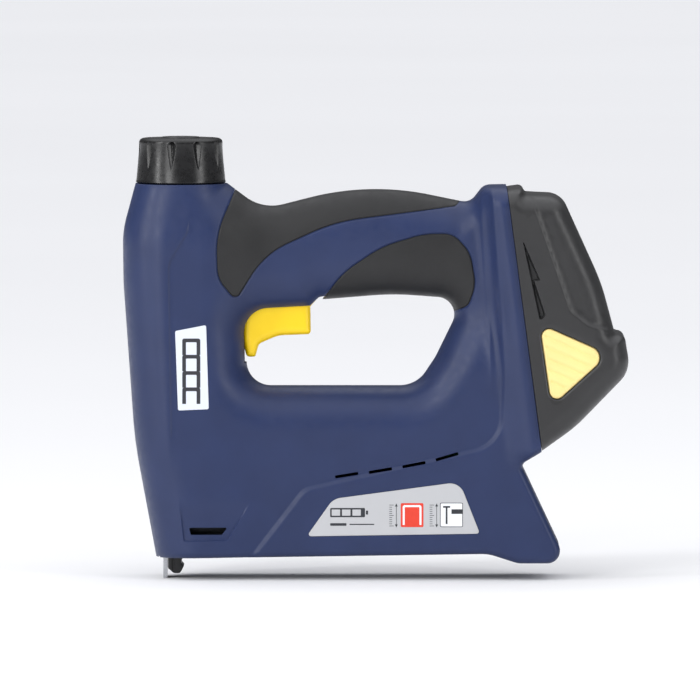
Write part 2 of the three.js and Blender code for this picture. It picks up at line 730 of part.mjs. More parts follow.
function springSeat() {
  const key = box(AXIS_X, AXIS_X + GUIDE.outer - 0.6, -2, 2, SEAT_Z, SEAT_Z + 6);
  return rodZ(AXIS_X, 0, SEAT_Z, SEAT_Z + 6, HAMMER.radius, 28).add(key)
    .subtract(rodZ(AXIS_X, 0, 100, 200, 4 + GAP, 18));
}

function hammerBody() {
  const lug = box(AXIS_X + 5, WHEEL.x - 7, -3, 3, HAMMER.bottom, HAMMER.bottom + 9);
  const bladeSlot = box(BLADE.x - 0.9, BLADE.x + 0.9, -5.8, 5.8, 50, 71);
  const springCup = rodZ(AXIS_X, 0, HAMMER.top - 5, 90, 6.6, 20);
  return rodZ(AXIS_X, 0, HAMMER.bottom, HAMMER.top, HAMMER.radius, 28).add(lug)
    .subtract(bladeSlot).subtract(springCup);
}

function hammerGuide() {
  const tube = rodZ(AXIS_X, 0, GUIDE.bottom, GUIDE.top, GUIDE.outer, 28)
    .subtract(rodZ(AXIS_X, 0, GUIDE.bottom + 3.5, 220, GUIDE.inner, 28));
  const lugSlot = box(AXIS_X, -60, -3.4, 3.4, HAMMER.bottom - 1, 90);
  const keySlot = box(AXIS_X, -60, -2.4, 2.4, 134, 154);
  const bladeHole = box(BLADE.x - 1, BLADE.x + 1, -6.2, 6.2, 30, 60);
  return tube.subtract(lugSlot).subtract(keySlot).subtract(bladeHole);
}

function bumperPad() {
  return rodZ(AXIS_X, 0, GUIDE.bottom + 3.8, HAMMER.bottom - GAP, HAMMER.radius, 24)
    .subtract(box(BLADE.x - 1.1, BLADE.x + 1.1, -6.2, 6.2, 30, 60));
}

function hammerLine() {
  const half = BLADE.thickness / 2;
  const blade = box(BLADE.x - half, BLADE.x + half, -BLADE.halfWidth, BLADE.halfWidth, BLADE.tip, 70);
  const cap = rodZ(AXIS_X, 0, CAP.top - 0.5, CAP.top, CAP.rim, 40)
    .add(rodZ(AXIS_X, 0, CAP.top - 0.3, KNOB_TOP, CAP.boss, 32));
  const spring = coil(AXIS_X, 0, HAMMER.top + GAP, SEAT_Z - GAP, 8.4, 1.4, 8, 5, 9);
  return [
    piece("power_knob", knobBody(), knobPlastic),
    piece("knob_cap", cap, darkPlastic),
    piece("adjusting_screw", adjustingScrew(), steel),
    piece("spring_seat", springSeat(), brass),
    piece("main_spring", spring, darkSteel),
    piece("hammer", hammerBody(), darkSteel),
    piece("driver_blade", blade, steel),
    piece("hammer_guide", hammerGuide(), steel),
    piece("bumper", bumperPad(), rubber),
  ];
}

// ---- motor and lifting wheel --------------------------------------------------------------

const WHEEL_FACE = { inner: -4.4, outer: -8 };
const CROWN_TEETH = 24;
const PINION_TEETH = 9;

function liftingWheel() {
  const disc = rodY(WHEEL.x, WHEEL_FACE.outer, WHEEL_FACE.inner, WHEEL.z, WHEEL.radius, 40);
  const pin = rodY(WHEEL.x + WHEEL.pinCircle, -5, -3.3, WHEEL.z, 2.5, 14);
  const gaps = Array.from({ length: CROWN_TEETH }, (_, i) => {
    const notch = new THREE.BoxGeometry(4, 2, 1.5);
    notch.translate(WHEEL.radius - 1, WHEEL_FACE.inner, 0);
    notch.rotateY(i * 2 * Math.PI / CROWN_TEETH);
    notch.translate(WHEEL.x, 0, WHEEL.z);
    return solid(notch);
  });
  return disc.subtract(join(...gaps)).add(pin)
    .subtract(rodY(WHEEL.x, -20, 20, WHEEL.z, 2.5 + GAP, 16));
}

function toothedPinion() {
  const gear = new THREE.Shape();
  for (let i = 0; i < 2 * PINION_TEETH; i += 1) {
    const radius = i % 2 === 0 ? 3.9 : 2.6;
    const angle = i * Math.PI / PINION_TEETH;
    for (const shift of [-0.11, 0.11]) {
      const [x, y] = [radius * Math.cos(angle + shift), radius * Math.sin(angle + shift)];
      if (gear.curves.length === 0 && gear.currentPoint.length() === 0) {
        gear.moveTo(x, y);
      } else {
        gear.lineTo(x, y);
      }
    }
  }
  const geometry = new THREE.ExtrudeGeometry(gear, { depth: 4.2, bevelEnabled: false });
  geometry.rotateY(Math.PI / 2);
  geometry.translate(-43.2, 0, WHEEL.z);
  return solid(geometry).add(rodX(-40, -31, 0, WHEEL.z, 2, 12));
}

function driveTrain() {
  const z = WHEEL.z;
  const gearbox = rodX(-35.7, -15, 0, z, MOTOR_RADIUS, 28)
    .subtract(rodX(-50, -30, 0, z, 2 + GAP, 14));
  const can = rodX(-15 + GAP, 20, 0, z, MOTOR_RADIUS, 28).subtract(rodX(17, 30, 0, z, 10, 20));
  const endBell = rodX(20 + GAP, 25, 0, z, MOTOR_RADIUS - 0.5, 28)
    .add(rodX(25, 28, 0, z, 5, 16));
  const bracket = box(-72, -37, -11.5, -9, z - 8, z + 8)
    .add(box(-38.4, -36, -11.5, 11.5, z - 8, z + 8))
    .subtract(rodX(-50, -30, 0, z, 5, 20))
    .subtract(rodY(WHEEL.x, -20, 0, z, 2.2 + GAP, 16));
  const axle = rodY(WHEEL.x, -12.5, -2.5, z, 2.2, 16).add(rodY(WHEEL.x, -4.1, -2.5, z, 4, 16));
  return [
    piece("lifting_wheel", liftingWheel(), darkSteel),
    piece("wheel_axle", axle, steel),
    piece("drive_bracket", bracket, steel),
    piece("motor_pinion", toothedPinion(), brass),
    piece("gearbox", gearbox, darkPlastic),
    piece("motor_can", can, steel),
    piece("motor_end_bell", endBell, rubber),
  ];
}

// ---- trigger -------------------------------------------------------------------------------

const TRIGGER_EDGE = [
  [-58.4, 100.7, 1.9], [-54.4, 100.7, 1.2], [-52.8, 106.6, 3], [-44, 110.4, 14],
  [-29.2, 111, 1.5], [-29.4, 123.6, 1.5], [-25.2, 128.4, 1.5], [-20.2, 129.2, 2],
  [-20.2, 137.4, 4.6], [-29.8, 137.4, 4.6], [-36, 128.6, 3], [-60.6, 127.4, 1.5],
  [-60.2, 108, 4],
];

function triggerParts() {
  const edge = roundedLine(TRIGGER_EDGE, true, 2);
  const pinHole = rodY(TRIGGER_PIVOT.x, -20, 20, TRIGGER_PIVOT.z, TRIGGER_PIN + GAP, 14);
  const trigger = prism(edge, -7.6, 7.6).subtract(pinHole);
  const pin = rodY(TRIGGER_PIVOT.x, -10.5, 10.5, TRIGGER_PIVOT.z, TRIGGER_PIN, 14);
  const body = box(-57, -42, -5.5, 5.5, 137, 150).subtract(box(-55, -51.4, -1.9, 1.9, 134, 145));
  const plunger = box(-54.7, -51.7, -1.6, 1.6, 128, 141);
  const spring = coil(-46, 0, 128.2, 136.7, 2.2, 0.4, 4, 4, 7);
  return [
    piece("trigger", trigger, yellow),
    piece("trigger_pivot_pin", pin, steel),
    piece("trigger_switch", body, rubber),
    piece("switch_plunger", plunger, softGrip),
    piece("trigger_spring", spring, steel),
  ];
}

// ---- nose and safety contact -----------------------------------------------------------------

const NOSE = { front: -94.2, back: -86.9, half: 9.6, top: 33 };
const TONGUE = { back: -87.6, half: 7.5, foot: 2.2, toe: 2.6 }; // the nose's rounded tip
const CONTACT = { front: -96.3, back: -94.5, half: 7, top: 28 };

function noseParts() {
  const tongueTop = 9;
  const core = box(NOSE.front, NOSE.back, -NOSE.half, NOSE.half, tongueTop - 1, NOSE.top)
    .add(box(NOSE.front, TONGUE.back, -TONGUE.half, TONGUE.half, TONGUE.foot, tongueTop))
    .add(rodY(TONGUE.back - 1.9, -TONGUE.half, TONGUE.half, TONGUE.foot + TONGUE.toe,
      TONGUE.toe, 14));
  const channel = box(BLADE.x - 0.9, BLADE.x + 0.75, -6.1, 6.1, 0, 40);
  const stripDoor = box(BLADE.x, -80, -6.1, 6.1, TRAY_FLOOR - 1, STRIP.crown + 0.5);
  const leaf = box(CONTACT.front, CONTACT.back, -CONTACT.half, CONTACT.half, 0, CONTACT.top);
  const shelf = box(-98.2, -95.5, -5, 5, CONTACT.top - 1.2, CONTACT.top);
  const spring = coil(-97, 0, CONTACT.top + GAP, 36.7, 1.1, 0.35, 5, 4, 7);
  return [
    piece("nose_block", core.subtract(channel).subtract(stripDoor), darkPlastic),
    piece("safety_contact", leaf.add(shelf), steel),
    piece("safety_spring", spring, steel),
    piece("safety_switch", box(-100.5, -95.4, -5, 5, 37, 40.7), rubber),
  ];
}

// ---- staple magazine -------------------------------------------------------------------------

const RAIL = { half: 4.5, wall: 1, top: TRAY_FLOOR + 12.6 };
const CHANNEL = { half: 8, wall: 1.4, foot: TRAY_FLOOR + 1.6, top: TRAY_FLOOR + 16 };
const LATCH = { front: 72.3, half: 4, foot: TRAY_FLOOR + 5, top: TRAY_FLOOR + 11 };
const PUSHER_END = -27;

function magazineChannel() {
  const { half, wall, foot, top } = CHANNEL;
  return box(TRAY_BAY.front + GAP, TRAY_END - 4, -half, half, foot, top)
    .subtract(box(-90, 70, -half + wall, half - wall, 0, top - 1.1))
    .subtract(prism(STAPLE_WINDOW, -60, 60));
}

// The tray pulls out backwards with its rail, its pusher rod and the cap at its end.
function magazineTray() {
  const front = TRAY_BAY.front + 0.8;
  const end = TRAY_END + 1;
  const inside = RAIL.half - RAIL.wall;
  const { front: latchFront, half, foot, top } = LATCH;
  const cap = box(TRAY_END, 120, -CHANNEL.half, CHANNEL.half, TRAY_FLOOR, CHANNEL.top + 0.1);
  return box(front, end, -6.9, 6.9, TRAY_FLOOR, TRAY_FLOOR + 1.3)
    .add(box(front, end, -RAIL.half, RAIL.half, TRAY_FLOOR, RAIL.top))
    .subtract(box(-95, TRAY_END, -inside, inside, TRAY_FLOOR + 1.3, 30))
    .add(cap.intersect(outerBody))
    .add(rodX(PUSHER_END + 1, end, 0, PULL_ROD_Z, 1.1, 10))
    .subtract(box(latchFront - 2.5, 120, -half - GAP, half + GAP, foot - GAP, top + GAP));
}

function pusherBody() {
  const { foot, crown, halfWidth } = STRIP;
  const front = STRIP.back + GAP;
  return box(front, PUSHER_END, -halfWidth, halfWidth, foot, crown)
    .subtract(box(-50, -20, -4.85, 4.85, 0, crown - 0.8))
    .add(box(front, PUSHER_END, -3.1, 3.1, TRAY_FLOOR + 1.7, crown - 0.5))
    .subtract(rodX(-45, -20, 0, PULL_ROD_Z, 1.4, 10));
}

function magazineParts() {
  const { front, back, foot, crown, halfWidth } = STRIP;
  const staples = box(front, back, -halfWidth, halfWidth, foot, crown)
    .subtract(box(-100, -30, -4.9, 4.9, 0, crown - 0.8));
  const spring = coil(0, 0, PUSHER_END + GAP, TRAY_END - GAP, 2.5, 0.4, 12, 4, 6)
    .rotate([0, 90, 0])
    .translate([0, 0, PULL_ROD_Z]);
  const latch = box(LATCH.front, 120, -LATCH.half, LATCH.half, LATCH.foot, LATCH.top);
  return [
    piece("magazine_channel", magazineChannel(), darkSteel),
    piece("magazine_tray", magazineTray(), darkSteel),
    piece("staple_strip", staples, darkSteel),
    piece("pusher", pusherBody(), darkSteel),
    piece("pusher_spring", spring, steel),
    piece("magazine_latch", latch.intersect(outerBody), darkPlastic),
  ];
}

// ---- electrics ---------------------------------------------------------------------------------

function electricParts() {
  const board = box(30, 50, -1, 0.6, 32, 70)
    .add(box(33, 41, 0.5, 7, 38, 50))
    .add(box(40, 46, 0.5, 5, 54, 66));
  const block = atSeam(box(PLUG.out - 10, PLUG.out - GAP, -PLUG.halfWidth, PLUG.halfWidth,
    PLUG.low, PLUG.high));
  return [
    piece("control_board", board, boardGreen),
    piece("terminal_block", block, rubber),
    wirePiece("wire_red", [[38, 4, 145], [20, 4, 147], [0, 4, 147.5], [-25, 4, 147], [-41, 4, 144]],
      wireRed),
    wirePiece("wire_black", [[46, -6, 129], [53, -7, 112], [54.5, -7, 92], [48, -5, 76], [42, -4, 71]],
      wireBlack),
  ];
}

// ---- battery -----------------------------------------------------------------------------------

const BATTERY_WALL = 2.5;
const CELL = { radius: 9.2, out: 13, low: 42, high: 107 };

function batteryShell() {
  const bare = batteryBody(0).subtract(batteryBody(BATTERY_WALL));
  const buttonHoles = prism(offsetLine(buttonLine, -GAP), -60, 60);
  const plugHole = box(-5, BATTERY_WALL + 2, -8, 8, PLUG.low + 3, PLUG.high - 3);
  const seamTrim = box(-50, GAP, -60, 60, -20, 150);
  return bare.subtract(buttonHoles).subtract(plugHole).subtract(seamTrim);
}

function buttonBody(side) {
  const face = prism(buttonLine, -BATTERY_DEPTH + 0.6, -22.8);
  const flange = prism(offsetLine(buttonLine, -1.4), -24.6, -22.8);
  const groove = (k) => {
    const bar = new THREE.BoxGeometry(50, 1.2, 1);
    bar.rotateY(Math.atan2(18.2, 30.1));
    bar.translate(20, -BATTERY_DEPTH + 0.6, 47.9 - k * 5.2);
    return solid(bar);
  };
  const grooved = face.subtract(join(groove(0), groove(1), groove(2), groove(3))).add(flange);
  return side === "left" ? grooved : grooved.mirror([0, 1, 0]);
}

function cellBody(side) {
  const y = side * (CELL.radius + 0.3);
  return rodZ(CELL.out, y, CELL.low, CELL.high, CELL.radius, 24)
    .add(rodZ(CELL.out, y, CELL.high - 0.5, CELL.high + 1.2, 2.6, 12));
}

function batteryGroup() {
  const group = new THREE.Group();
  group.position.copy(SEAM_FOOT);
  group.rotation.y = -SEAM_TILT;
  const whole = batteryShell();
  const plug = box(PLUG.out, 2, -PLUG.halfWidth, PLUG.halfWidth, PLUG.low, PLUG.high)
    .intersect(box(PLUG.out, -GAP, -60, 60, 0, 200))
    .add(box(-2, 3.4, -7.6, 7.6, PLUG.low + 3.4, PLUG.high - 3.4));
  const board = box(3.5, 22, -18, 18, 38.4, 40).add(box(6, 14, -14, -6, 35, 38.6));
  group.add(
    piece("battery_case_left", whole.intersect(leftSpace), darkPlastic),
    piece("battery_case_right", whole.intersect(rightSpace), darkPlastic),
    piece("battery_button_left", buttonBody("left"), paleYellow),
    piece("battery_button_right", buttonBody("right"), paleYellow),
    piece("battery_cell_left", cellBody(-1), cellGreen),
    piece("battery_cell_right", cellBody(1), cellGreen),
    piece("battery_board", board, boardGreen),
    piece("battery_plug", plug, rubber),
  );
  return group;
}

// ---- the whole tool ------------------------------------------------------------------------------

const stapler = new THREE.Group();
stapler.add(
  ...bodyPieces(),
  ...SCREWS.map(([name, x, z]) => piece(name, screwBody(x, z), steel)),
  ...hammerLine(),
  ...driveTrain(),
  ...triggerParts(),
  ...noseParts(),
  ...magazineParts(),
  ...electricParts(),
  batteryGroup(),
);

export default stapler;
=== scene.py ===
import json
import math

import bpy
import numpy as np
from mathutils import Matrix, Vector, geometry, kdtree

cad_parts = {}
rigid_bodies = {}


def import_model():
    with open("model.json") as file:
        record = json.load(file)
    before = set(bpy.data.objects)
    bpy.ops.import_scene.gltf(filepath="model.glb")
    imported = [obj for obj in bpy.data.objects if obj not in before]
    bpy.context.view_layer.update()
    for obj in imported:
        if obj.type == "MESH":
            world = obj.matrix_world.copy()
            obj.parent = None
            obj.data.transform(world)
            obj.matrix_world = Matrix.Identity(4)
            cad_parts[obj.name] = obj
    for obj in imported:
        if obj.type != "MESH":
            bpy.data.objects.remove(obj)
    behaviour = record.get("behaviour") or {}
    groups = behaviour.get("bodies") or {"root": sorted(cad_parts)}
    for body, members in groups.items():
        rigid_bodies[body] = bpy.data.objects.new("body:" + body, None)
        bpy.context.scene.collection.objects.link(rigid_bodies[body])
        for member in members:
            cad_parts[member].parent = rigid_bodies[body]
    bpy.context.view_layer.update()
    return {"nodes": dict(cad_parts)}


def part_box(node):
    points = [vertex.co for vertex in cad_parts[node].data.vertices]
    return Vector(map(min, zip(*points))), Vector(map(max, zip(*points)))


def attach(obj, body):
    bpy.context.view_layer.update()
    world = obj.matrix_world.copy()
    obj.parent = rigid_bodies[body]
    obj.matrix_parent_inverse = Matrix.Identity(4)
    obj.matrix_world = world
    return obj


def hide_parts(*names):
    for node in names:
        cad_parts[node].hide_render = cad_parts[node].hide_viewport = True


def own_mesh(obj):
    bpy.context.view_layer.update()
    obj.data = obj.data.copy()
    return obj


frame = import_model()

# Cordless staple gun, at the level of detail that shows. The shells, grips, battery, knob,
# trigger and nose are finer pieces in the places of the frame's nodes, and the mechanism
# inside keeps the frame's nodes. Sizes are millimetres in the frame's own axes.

MM = 0.001

# ---- sizes ----


def limits(node):
    low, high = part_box(node)
    return Vector(low) / MM, Vector(high) / MM


shell_low, shell_high = limits("housing_left")
knob_low, knob_high = limits("power_knob")
guide_low, guide_high = limits("hammer_guide")
_, trigger_high = limits("trigger")
label_low, label_high = limits("rating_label_left")
badge_low, badge_high = limits("side_badge_left")
case_low, _ = limits("battery_case_left")
_, cap_high = limits("knob_cap")
tray_low, _ = limits("magazine_tray")

GAP = 2 * abs(shell_high.y)  # clearance between neighbouring pieces
WALL = 3
LAND = 0.8
POCKET = 2.2

BASE_DEPTH = abs(label_low.y) - 1.2  # half widths of the housing
HEAD_DEPTH = abs(badge_low.y)
NECK_DEPTH = HEAD_DEPTH - 2.5
HANDLE_DEPTH = BASE_DEPTH - 4.5
FLANGE_DEPTH = abs(shell_low.y)
BATTERY_DEPTH = abs(case_low.y)
SWAGE_STEP = 1.2
SOLE_FLAT = 0.82
BOX_FLAT = 0.55
BOX_ROUND = 9

AXIS_X = (guide_low.x + guide_high.x) / 2
NECK_TOP = knob_low.z - GAP
KNOB_RADIUS = (knob_high.x - knob_low.x) / 2
KNOB_TOP = cap_high.z
TRIGGER_HALF = trigger_high.y
TRAY_FLOOR = tray_low.z

SEAM_TILT = math.radians(7.6)
SEAM_FOOT = (75.5, 58.5)
ROUND_POWER = 2.2

# ---- outlines: [x, z, corner radius] ----

FRONT_EDGE = [
    [-108.9, NECK_TOP], [-114.7, 158, 45], [-114.4, 134, 120], [-109.3, 62, 200], [-99.6, 9.7],
]
SOLE_EDGE = [
    [-99.6, 9.7], [51.4, 11.9, 20], [64.8, 7.6, 10], [87.2, 7.6, 5.7], [66, 52.6, 3],
    [*SEAM_FOOT],
]
CROWN_EDGE = [
    [59.6, 178.4], [49.5, 178.3, 6], [43.2, 170.5, 6], [-2.6, 179.84, 121],
    [-51.2, 167.5, 20], [-67.2, NECK_TOP],
]
OPENING = [
    [-58.3, 87.4, 11], [18.8, 87.4, 14], [27.5, 100.5, 25], [40.4, 126.9, 8], [8, 129.2, 120],
    [-24.6, 126.6, 1.5], [-28.8, 122.6, 1.2], [-58.6, 121, 10],
]
SWAGE = [[-59.7, 6], [-32.2, 41.6, 9], [56.5, 61.8, 16], [58.4, 96, 60], [53, 178]]
TOP_GRIP = [
    [-57.5, 191], [-72.1, 157, 40], [-71.4, 137, 14], [-64.6, 128.6, 2.8], [-61.8, 128.9, 2.4],
    [-50, 148, 38], [-18, 162.6, 80], [36.5, 169.4, 2.5], [58, 192],
]
LOWER_GRIP = [
    [-29, 119.9], [-14.7, 139.5, 40], [2.9, 151.5, 50], [22.2, 157.3, 40], [35.3, 157.3, 10],
    [43.2, 149, 16], [45.8, 133.9, 18], [42.3, 124.3, 5], [28, 118],
]
LABEL_EDGE = [[-31.4, 20, 1.2], [-19.1, 37.4, 8], [38.4, 45.1, 7], [47.8, 21.2, 1.3]]
BADGE_EDGE = [[-90.8, 113.6, 1], [-89.5, 77.2, 1], [-75.2, 77.8, 1], [-76.4, 116.4, 1]]
HEAD_CREASE = [[-84.2, 164], [-85.1, 158, 6], [-93.6, 144, 12], [-92.4, 66]]
WINDOW_PANEL = [[-88.9, 37.7], [-86.7, 17.9, 1], [-67.2, 18.2, 1], [-55.4, 37.7]]
STAPLE_WINDOW = [[-84.4, 24.1, 0.5], [-66.9, 24.1, 0.5], [-69.5, 20.8, 0.5], [-83.6, 20.8, 0.5]]

BATTERY_EDGE = [
    [0, 0], [16.8, 9, 60], [44.8, 31, 13], [44.3, 47.2, 3.5], [40, 48.8, 1.5], [37, 72, 90],
    [24.4, 113.7, 10], [8.2, 116.6, 1.5], [6.8, 120, 2.5], [0, 120],
]
BATTERY_RIDGE = [[8.4, 123.7], [21.1, 61.5, 6], [28.7, 53.7, 12], [47.7, 47.2]]
BATTERY_WEDGE = [[4.1, 96.3], [9.4, 77.8], [6.7, 77.8], [9.7, 61.7, 0.8], [7, 59.3, 0.8]]
BUTTON_EDGE = [[6.6, 58.2, 3.5], [36, 40.2, 5.2], [7, 20.2, 3.5]]
TRIGGER_EDGE = [
    [-58.4, 100.7, 1.9], [-54.4, 100.7, 1.2], [-52.8, 106.6, 3], [-44, 110.4, 14],
    [-29.2, 111, 1.5], [-29.4, 123.6, 1.5], [-25.2, 128.4, 1.5], [-20.2, 129.2, 2],
    [-20.2, 137.4, 4.6], [-29.8, 137.4, 4.6], [-36, 128.6, 3], [-60.6, 127.4, 1.5],
    [-60.2, 108, 4],
]


def rounded_line(corners, closed, step=1.0):
    """A polyline through the corners, each corner with a radius turned into an arc."""
    points = []
    for i, (x, z, *radii) in enumerate(corners):
        radius = radii[0] if radii else 0
        corner = Vector((x, z))
        at_end = not closed and i in (0, len(corners) - 1)
        if at_end or radius == 0:
            points.append(corner)
            continue
        before = (Vector(corners[i - 1][:2]) - corner).normalized()
        after = (Vector(corners[(i + 1) % len(corners)][:2]) - corner).normalized()
        half_angle = math.acos(max(-1, min(1, before.dot(after)))) / 2
        sweep = math.pi - 2 * half_angle
        centre = corner + (before + after).normalized() * (radius / math.sin(half_angle))
        first = corner + before * (radius / math.tan(half_angle)) - centre
        turn = 1 if before.x * after.y - before.y * after.x >= 0 else -1
        steps = max(2, math.ceil(max(radius * sweep / step, sweep / 0.2)))
        for k in range(steps + 1):
            points.append(centre + Matrix.Rotation(-turn * sweep * k / steps, 2) @ first)
    line = np.array([point[:] for point in points])
    apart = np.hypot(*(line - np.roll(line, 1, axis=0)).T)
    keep = apart > 1e-4
    keep[0] = True
    return line[keep]


def spans(line, closed):
    return (line, np.roll(line, -1, axis=0)) if closed else (line[:-1], line[1:])


def spaced(line, closed, step):
    """The same line with points about a step apart."""
    rows = []
    for a, b in zip(*spans(line, closed)):
        count = max(1, round(np.hypot(*(b - a)) / step))
        rows.append(a + (b - a) * (np.arange(count) / count)[:, None])
    if not closed:
        rows.append(line[-1:])
    return np.vstack(rows)


def distance(line, closed, points):
    nearest = np.full(len(points), np.inf)
    for a, b in zip(*spans(line, closed)):
        along = b - a
        share = np.clip((points - a) @ along / max(along @ along, 1e-12), 0, 1)
        nearest = np.minimum(nearest, np.hypot(*(points - a - share[:, None] * along).T))
    return nearest


def inside(line, points):
    flags = np.zeros(len(points), bool)
    x, z = points.T
    for a, b in zip(*spans(line, True)):
        if a[1] != b[1]:
            crosses = (a[1] > z) != (b[1] > z)
            flags ^= crosses & (x < a[0] + (b[0] - a[0]) * (z - a[1]) / (b[1] - a[1]))
    return flags


def left_normals(line, closed):
    before = line - np.roll(line, 1, axis=0)
    after = np.roll(line, -1, axis=0) - line
    if not closed:
        before[0] = after[0]
        after[-1] = before[-1]
    normals = []
    for way in (before, after):
        length = np.maximum(np.hypot(*way.T), 1e-9)[:, None]
        normals.append(np.column_stack([-way[:, 1], way[:, 0]]) / length)
    return normals


def offset_line(line, amount, closed=True):
    """Moves a closed line inward, or an open one to its left."""
    if amount == 0:
        return line
    if closed:
        x, z = line.T
        area = np.sum(x * np.roll(z, -1) - z * np.roll(x, -1))
        amount *= math.copysign(1, area)
    before, after = left_normals(line, closed)
    reach = amount / np.maximum(1 + np.sum(before * after, axis=1), 0.3)
    moved = line + (before + after) * reach[:, None]
    return moved[distance(line, closed, moved) > abs(amount) * 0.97 - 1e-6]


def smooth(value, start, end):
    share = np.clip((value - start) / (end - start), 0, 1)
    return share * share * (3 - 2 * share)


def mix(start, end, share):
    return start + (end - start) * share


def level(height):
    return lambda points: np.full(len(points), height)


def bulge(at, radius):
    share = 1 - np.clip(at / radius, 0, 1)
    return (1 - share ** ROUND_POWER) ** (1 / ROUND_POWER)


def edge_rings(radius, count, reach=0.8):
    """Distances from an edge at which a bulge climbs by equal steps."""
    climb = np.linspace(0, reach, count)
    return radius * (1 - (1 - climb ** ROUND_POWER) ** (1 / ROUND_POWER))


front_line = rounded_line(FRONT_EDGE, False)
sole_line = rounded_line(SOLE_EDGE, False)
crown_line = rounded_line(CROWN_EDGE, False)
housing_line = np.vstack([front_line, sole_line[1:], crown_line])
opening_line = rounded_line(OPENING, True)
swage_line = rounded_line(SWAGE, False)
raised_area = np.vstack([swage_line, [[53, 220], [140, 220], [140, -30], [-59.7, -30]]])
top_grip_line = rounded_line(TOP_GRIP, True)
lower_grip_line = rounded_line(LOWER_GRIP, True)
label_line = rounded_line(LABEL_EDGE, True, 0.5)
badge_line = rounded_line(BADGE_EDGE, True, 0.5)
crease_line = rounded_line(HEAD_CREASE, False)
panel_line = rounded_line(WINDOW_PANEL, False, 0.4)
window_line = rounded_line(STAPLE_WINDOW, True, 0.4)
battery_line = rounded_line(BATTERY_EDGE, True)
battery_free_line = rounded_line(BATTERY_EDGE, False)
ridge_line = rounded_line(BATTERY_RIDGE, False)
cell_bay = np.vstack([ridge_line, [[80, 47.2], [80, 140], [8.4, 140]]])
wedge_line = rounded_line(BATTERY_WEDGE, True, 0.4)
button_line = rounded_line(BUTTON_EDGE, True, 0.5)
trigger_line = rounded_line(TRIGGER_EDGE, True, 0.5)

# ---- meshes ----


def new_object(name, verts, faces, material=None):
    mesh = bpy.data.meshes.new(name)
    mesh.from_pydata((np.asarray(verts, float) * MM).tolist(), [], faces)
    mesh.update()
    if material:
        mesh.materials.append(material)
    obj = bpy.data.objects.new(name, mesh)
    bpy.context.scene.collection.objects.link(obj)
    return obj


def finished(obj, material, angle=34):
    """Gives a piece its material and its smooth shading with crisp corners."""
    obj.data.materials.clear()
    obj.data.materials.append(material)
    obj.data.polygons.foreach_set("material_index", [0] * len(obj.data.polygons))
    obj.data.shade_smooth()
    obj.data.set_sharp_from_angle(angle=math.radians(angle))
    return obj


def combine(obj, other, operation):
    """Joins the other solid to the object, or cuts it away, and removes the other."""
    modifier = obj.modifiers.new("combine", "BOOLEAN")
    modifier.operation = operation
    modifier.solver = "MANIFOLD"
    modifier.object = other
    shape = obj.evaluated_get(bpy.context.evaluated_depsgraph_get())
    mesh = bpy.data.meshes.new_from_object(shape)
    obj.modifiers.clear()
    before = obj.data
    obj.data = mesh
    mesh.name = obj.name
    bpy.data.meshes.remove(before)
    bpy.data.objects.remove(other)
    return obj


def cut(obj, other):
    return combine(obj, other, "DIFFERENCE")


def join(obj, other):
    return combine(obj, other, "UNION")


def common(obj, other):
    return combine(obj, other, "INTERSECT")


def copied(obj, name):
    twin = bpy.data.objects.new(name, obj.data.copy())
    bpy.context.scene.collection.objects.link(twin)
    return twin


def mirrored(obj, name):
    twin = copied(obj, name)
    twin.data.transform(Matrix.Scale(-1, 4, (0, 1, 0)))
    twin.data.flip_normals()
    return twin


def box(x0, x1, y0, y1, z0, z1):
    corners = [(x, y, z) for x in (x0, x1) for y in (y0, y1) for z in (z0, z1)]
    faces = [(0, 1, 3, 2), (4, 6, 7, 5), (0, 4, 5, 1), (2, 3, 7, 6), (0, 2, 6, 4), (1, 5, 7, 3)]
    return new_object("cutter", corners, faces)


def rod(start, end, radius, sides=24):
    """A round bar between two points."""
    start, end = Vector(start), Vector(end)
    turn = (end - start).to_track_quat("Z", "Y")
    ring = [turn @ Vector((radius * math.cos(a), radius * math.sin(a), 0))
            for a in np.linspace(0, 2 * math.pi, sides, endpoint=False)]
    verts = [start + spoke for spoke in ring] + [end + spoke for spoke in ring]
    faces = [(i, (i + 1) % sides, sides + (i + 1) % sides, sides + i) for i in range(sides)]
    faces += [tuple(reversed(range(sides))), tuple(range(sides, 2 * sides))]
    return new_object("cutter", [v[:] for v in verts], faces)


def prism(line, y0, y1):
    """A flat plate with the outline, between two y values."""
    x, z = line.T
    if np.sum(x * np.roll(z, -1) - z * np.roll(x, -1)) < 0:
        line = line[::-1]
    count = len(line)
    verts = [(x, y, z) for y in (min(y0, y1), max(y0, y1)) for x, z in line]
    faces = [tuple(range(count)), tuple(reversed(range(count, 2 * count)))]
    faces += [(i, count + i, count + (i + 1) % count, (i + 1) % count) for i in range(count)]
    return new_object("cutter", verts, faces)


def thinned(taken, candidates, apart):
    """The candidates that keep clear of the points already taken."""
    tree = kdtree.KDTree(len(taken))
    for i, (x, z) in enumerate(taken):
        tree.insert((x, z, 0), i)
    tree.balance()
    keep = [tree.find((x, z, 0))[2] > apart for x, z in candidates]
    return candidates[np.array(keep, bool)] if len(candidates) else candidates


